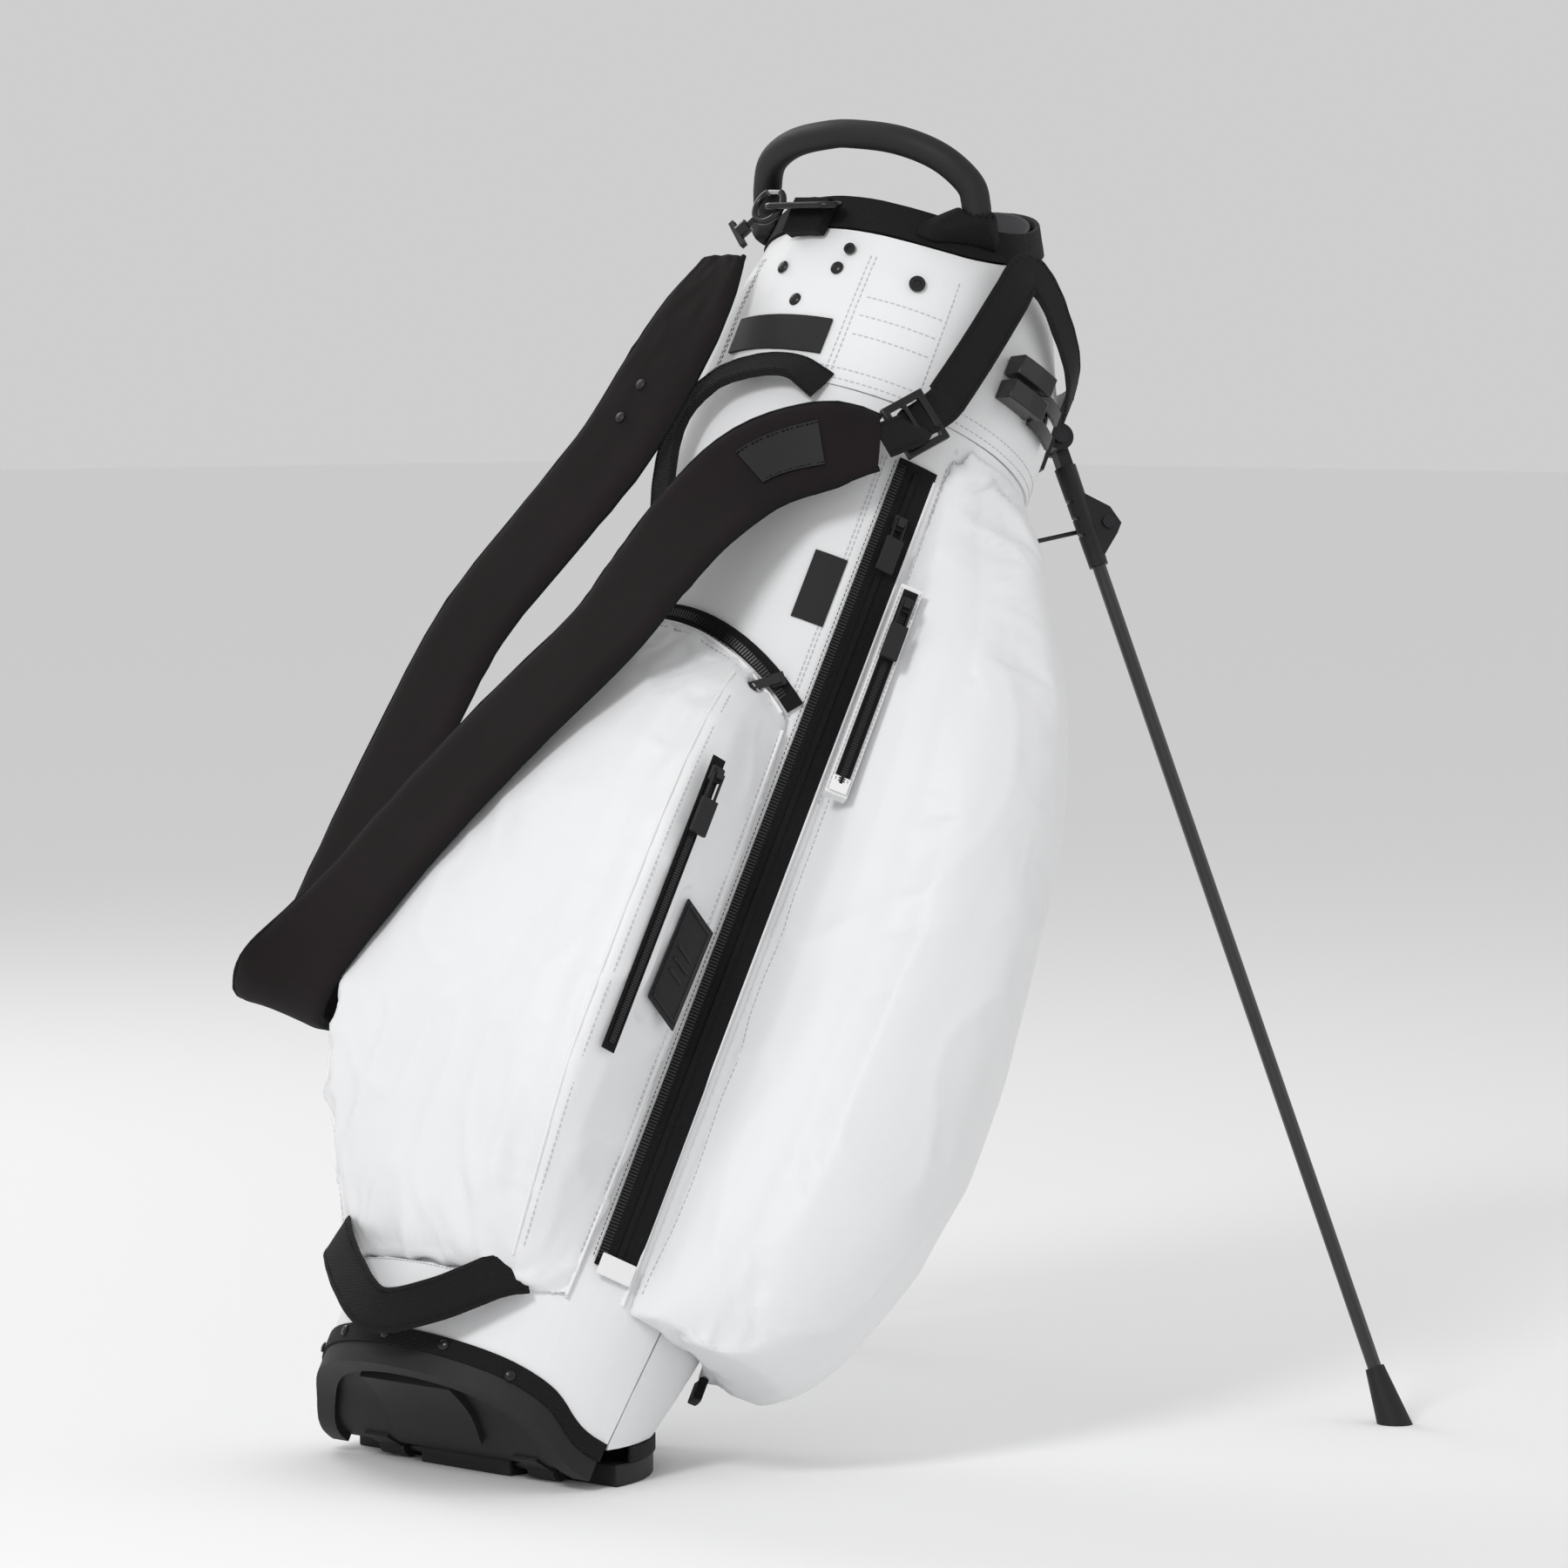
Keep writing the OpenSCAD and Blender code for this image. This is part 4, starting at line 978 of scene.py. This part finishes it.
class Closures:
    """Zips with their sliders and pulls."""

    def build(self) -> None:
        """Makes every zip."""
        tapes = [
            HardPiece(n, TAPE, "black_fabric", "bag", 0.0003).build()
            for n in ("garment_zip", "short_zips", "ball_zip")
        ]
        on_tape = Skin(*tapes)
        trim = Trim(on_tape)
        path, normals = trim.line(upright(-119.0, 132, 702, 4), 0.0003)
        ZipRun("garment_zip", path, normals, 0.0022).build()
        for name, origin, turn, length in (
            ("valuables_zip", SIDE_PLACE, SIDE_TURN, 205),
            ("chest_zip", CHEST_PLACE, CHEST_TURN, 146)
        ):
            a = math.radians(turn)
            out = Vector((math.cos(a), math.sin(a), 0))
            lean = CHEST_LEAN if name == "chest_zip" else 0.0
            places = [
                leaned(*(Vector(origin) + out * (1.8 - lean * z) + Vector((0, 0, z))))
                for z in range(5, length - 4, 4)
            ]
            ZipRun(name, places, [LEANING.to_3x3() @ out] * len(places), 0.0017).build()
        arch = [(float(a), arched(a, BALL_ZIP_TOP)) for a in range(128, 233, 2)]
        path, normals = trim.line(arch, 0.0002)
        ZipRun("ball_zip", path, normals, 0.0022).build()
        for stem in ("garment", "chest", "valuables"):
            HardPiece(
                f"{stem}_zip_slider", PLASTIC, "black_plastic", f"{stem}_slider", 0.0005
            ).build()
            HardPiece(f"{stem}_zip_pull", RUBBER, "dark_plastic", f"{stem}_pull", 0.0005).build()
        HardPiece("ball_zip_slider", PLASTIC, "black_plastic", "bag", 0.0005).build()
        self._tabs()

    def _tabs(self) -> None:
        """White tabs at the zips' lower ends and the chest zip's sewn frame."""
        a = math.radians(-116)
        out = LEANING.to_3x3() @ Vector((math.cos(a), math.sin(a), 0))
        reach = 1.035
        points = [
            leaned(
                TUBE_RX / MM * reach * math.cos(a), TUBE_RY / MM * reach * math.sin(a), 122
                + k * 3.5
            )
            for k in range(5)
        ]
        bm = bmesh.new()
        ribbon(bm, points, [out] * 5, 0.024, 0.002)
        chest = Matrix.Translation(CHEST_PLACE) @ Matrix.Rotation(
            math.radians(CHEST_TURN), 4, "Z"
        ) @ Matrix.Rotation(math.radians(-3), 4, "Y")
        into = LEANING @ Matrix.Scale(MM, 4) @ chest
        for centre, size in (((-5.8, 0, 73), (11.2, 15.4, 153)), ((1.3, 0, 3.5), (1.4, 12.4, 11))):
            bmesh.ops.create_cube(
                bm, size=1.0, matrix=into @ Matrix.Translation(centre) @ Matrix.Diagonal((*size, 1))
            )
        tabs = new_piece("zip_end_tabs", bm, WHITE_TRIM, "bag", 30)
        edge = tabs.modifiers.new("Bevel", "BEVEL")
        edge.width = 0.0005
        edge.segments = 2
        sewn = bmesh.new()
        look = (into.to_3x3() @ Vector((1, 0, 0))).normalized()
        for y in (-6.5, 6.5):
            path = [into @ Vector((0.0, y, z)) for z in range(-2, 149, 5)]
            blocks_along(sewn, path, [look] * len(path), SEWING_PITCH, (0.0022, 0.0006, 0.0006))
        # The chest zip's stitches take the grey thread colour, which is painted shade of the stitch
        # holes.
        new_piece("chest_zip_stitching", sewn, SHADED_THREAD, "bag", 30)


class Collar:
    """The bound rim, club dividers, carrying handle and the ring with its hook."""

    def build(self) -> None:
        """Makes the top of the bag."""
        ThinSkin(
            "collar_binding", WEB, "black_fabric", Wrinkles(0.0003, Vector((60, 60, 60)), 2.0), 0.01
        ).build()
        HardPiece("divider_top", LINING, "lining", "bag", 0.0015).build()
        HardPiece("club_dividers", LINING, "lining", "bag", 0.0003).build()
        HardPiece("spine_stays", LEG_PAINT, "leg_aluminium", "bag", 0.0003).build()
        HardPiece("top_handle", RUBBER, "rubber", "bag", 0.0, 60, 1).build()
        HardPiece("cuff_patch", RUBBER, "black_fabric", "bag", 0.0004).build()
        HardPiece("cuff_studs", GLOSS, "black_steel", "bag", 0.0004, 40).build()
        HardPiece("badges", RUBBER, "rubber", "bag", 0.0006).build()
        self._badge_rim()
        HardPiece("d_ring", GLOSS, "black_plastic", "ring", 0.0, 60, 1).build()
        HardPiece("swivel_base", GLOSS, "black_plastic", "bag", 0.0006).build()
        HardPiece("swivel_hook", GLOSS, "black_plastic", "hook", 0.0, 60).build()
        HardPiece("hook_gate", STEEL, "steel", "gate", 0.0, 60).build()

    def _badge_rim(self) -> None:
        """A raised rim and three plain ribs on the slanted badge."""
        turn = Matrix.Translation((-97, -116.8, 292)) @ Matrix.Rotation(math.radians(-102), 4, "Z")
        place = lambda y, z: leaned(*(turn @ Vector((2.2, y, z))))
        bm = bmesh.new()
        loop = [place(y, z) for y, z in ((-10.5, 3), (11, -7), (12.5, 55), (-9, 66))]
        for a, b in zip(loop, [*loop[1:], loop[0]]):
            tube_along(bm, [a, (a + b) / 2, b], 0.0009, 6)
        for z in (20, 28, 36):
            tube_along(bm, [place(-6, z + 3), place(0.5, z), place(7, z - 3)], 0.0010, 6)
        new_piece("badge_ribs", bm, PLASTIC, "bag", 60)


class Base:
    """The hinged two-part base, its bindings, pin and rivets."""

    def build(self) -> None:
        """Makes the base."""
        HardPiece("toe_shell", RUBBER, "rubber", "bag", 0.0016, 38).build()
        HardPiece("heel_shell", RUBBER, "rubber", "heel", 0.0016, 38).build()
        HardPiece("toe_binding", WEB, "black_fabric", "bag", 0.0008).build()
        HardPiece("heel_binding", WEB, "black_fabric", "heel", 0.0008).build()
        HardPiece("base_rivets", GLOSS, "black_steel", "bag", 0.0004, 40).build()
        HardPiece("base_hinge_pin", BLACK_STEEL, "steel", "bag", 0.0003).build()


class Stand:
    """Folding legs with the rod and wire links that throw them out."""

    def build(self) -> None:
        """Makes the stand."""
        for side in ("near", "far"):
            HardPiece(
                f"{side}_leg_fitting", PLASTIC, "black_plastic", f"{side}_leg", 0.0008
            ).build()
            HardPiece(f"{side}_leg_tube", LEG_PAINT, "leg_aluminium", f"{side}_leg", 0.0002).build()
            HardPiece(f"{side}_leg_boot", RUBBER, "rubber", f"{side}_leg", 0.0012).build()
            HardPiece(
                f"lug_screws_{side}", BLACK_STEEL, "black_steel", f"{side}_leg", 0.0003
            ).build()
            HardPiece(
                f"{side}_wire_link", BLACK_STEEL, "black_steel", f"{side}_link", 0.0, 60
            ).build()
        HardPiece("leg_bracket", PLASTIC, "black_plastic", "bag", 0.0012).build()
        HardPiece("bracket_screws", BLACK_STEEL, "black_steel", "bag", 0.0003).build()
        HardPiece("rod_guides", PLASTIC, "black_plastic", "bag", 0.0006).build()
        HardPiece("actuator_rod", BLACK_STEEL, "black_steel", "actuator", 0.0002).build()
        HardPiece("rod_heads", PLASTIC, "black_plastic", "actuator", 0.0006).build()


@dataclass(frozen=True)
class Lamp:
    """One soft studio light."""

    name: str
    place: tuple[float, float, float]
    size: float
    watts: float

    def add(self, aim: Vector) -> None:
        """Hangs the light and turns it to the bag."""
        data = bpy.data.lights.new(self.name, "AREA")
        data.shape = "DISK"
        data.size = self.size
        data.energy = self.watts
        obj = bpy.data.objects.new(self.name, data)
        obj.location = self.place
        obj.rotation_euler = (aim - obj.location).to_track_quat("-Z", "Y").to_euler()
        bpy.context.scene.collection.objects.link(obj)


class Studio:
    """Floor, lights and camera."""

    def build(self) -> None:
        """Sets up the pale studio."""
        bm = bmesh.new()
        bmesh.ops.create_grid(bm, x_segments=1, y_segments=1, size=30.0)
        mesh = bpy.data.meshes.new("studio_floor")
        bm.to_mesh(mesh)
        bm.free()
        floor = bpy.data.objects.new("studio_floor", mesh)
        bpy.context.scene.collection.objects.link(floor)
        paper = bpy.data.materials.new("studio_paper")
        paper.use_nodes = True
        shader = paper.node_tree.nodes["Principled BSDF"]
        shader.inputs["Base Color"].default_value = (0.95, 0.95, 0.95, 1)
        shader.inputs["Roughness"].default_value = 0.85
        mesh.materials.append(paper)
        world = bpy.data.worlds.new("studio_air")
        world.use_nodes = True
        world.node_tree.nodes["Background"].inputs["Color"].default_value = (1, 1, 1, 1)
        world.node_tree.nodes["Background"].inputs["Strength"].default_value = AIR_STRENGTH
        bpy.context.scene.world = world
        bpy.context.scene.view_settings.view_transform = "Standard"
        Lamp("key_light", (-2.6, -0.9, 2.6), 0.9, 46).add(AIM)
        Lamp("fill_light", (2.4, -3.0, 1.6), 2.4, 7).add(AIM)
        Lamp("rim_light", (0.6, 2.8, 2.4), 1.6, 25).add(AIM)
        lens = bpy.data.cameras.new("camera")
        lens.lens = LENS
        lens.sensor_width = 36
        lens.clip_end = 60
        camera = bpy.data.objects.new("camera", lens)
        camera.location = AIM + CAMERA_AWAY * CAMERA_WAY
        camera.rotation_euler = (AIM - camera.location).to_track_quat("-Z", "Y").to_euler()
        bpy.context.scene.collection.objects.link(camera)
        bpy.context.scene.camera = camera


def main() -> None:
    """Builds the bag's visual over the frame."""
    logging.basicConfig(level=logging.INFO, format="%(name)s: %(message)s")
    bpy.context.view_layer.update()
    WhitePanels().build()
    LOG.info("panels made")
    Closures().build()
    Harness().build()
    Collar().build()
    Base().build()
    Stand().build()
    Studio().build()


if __name__ == "__main__":
    main()
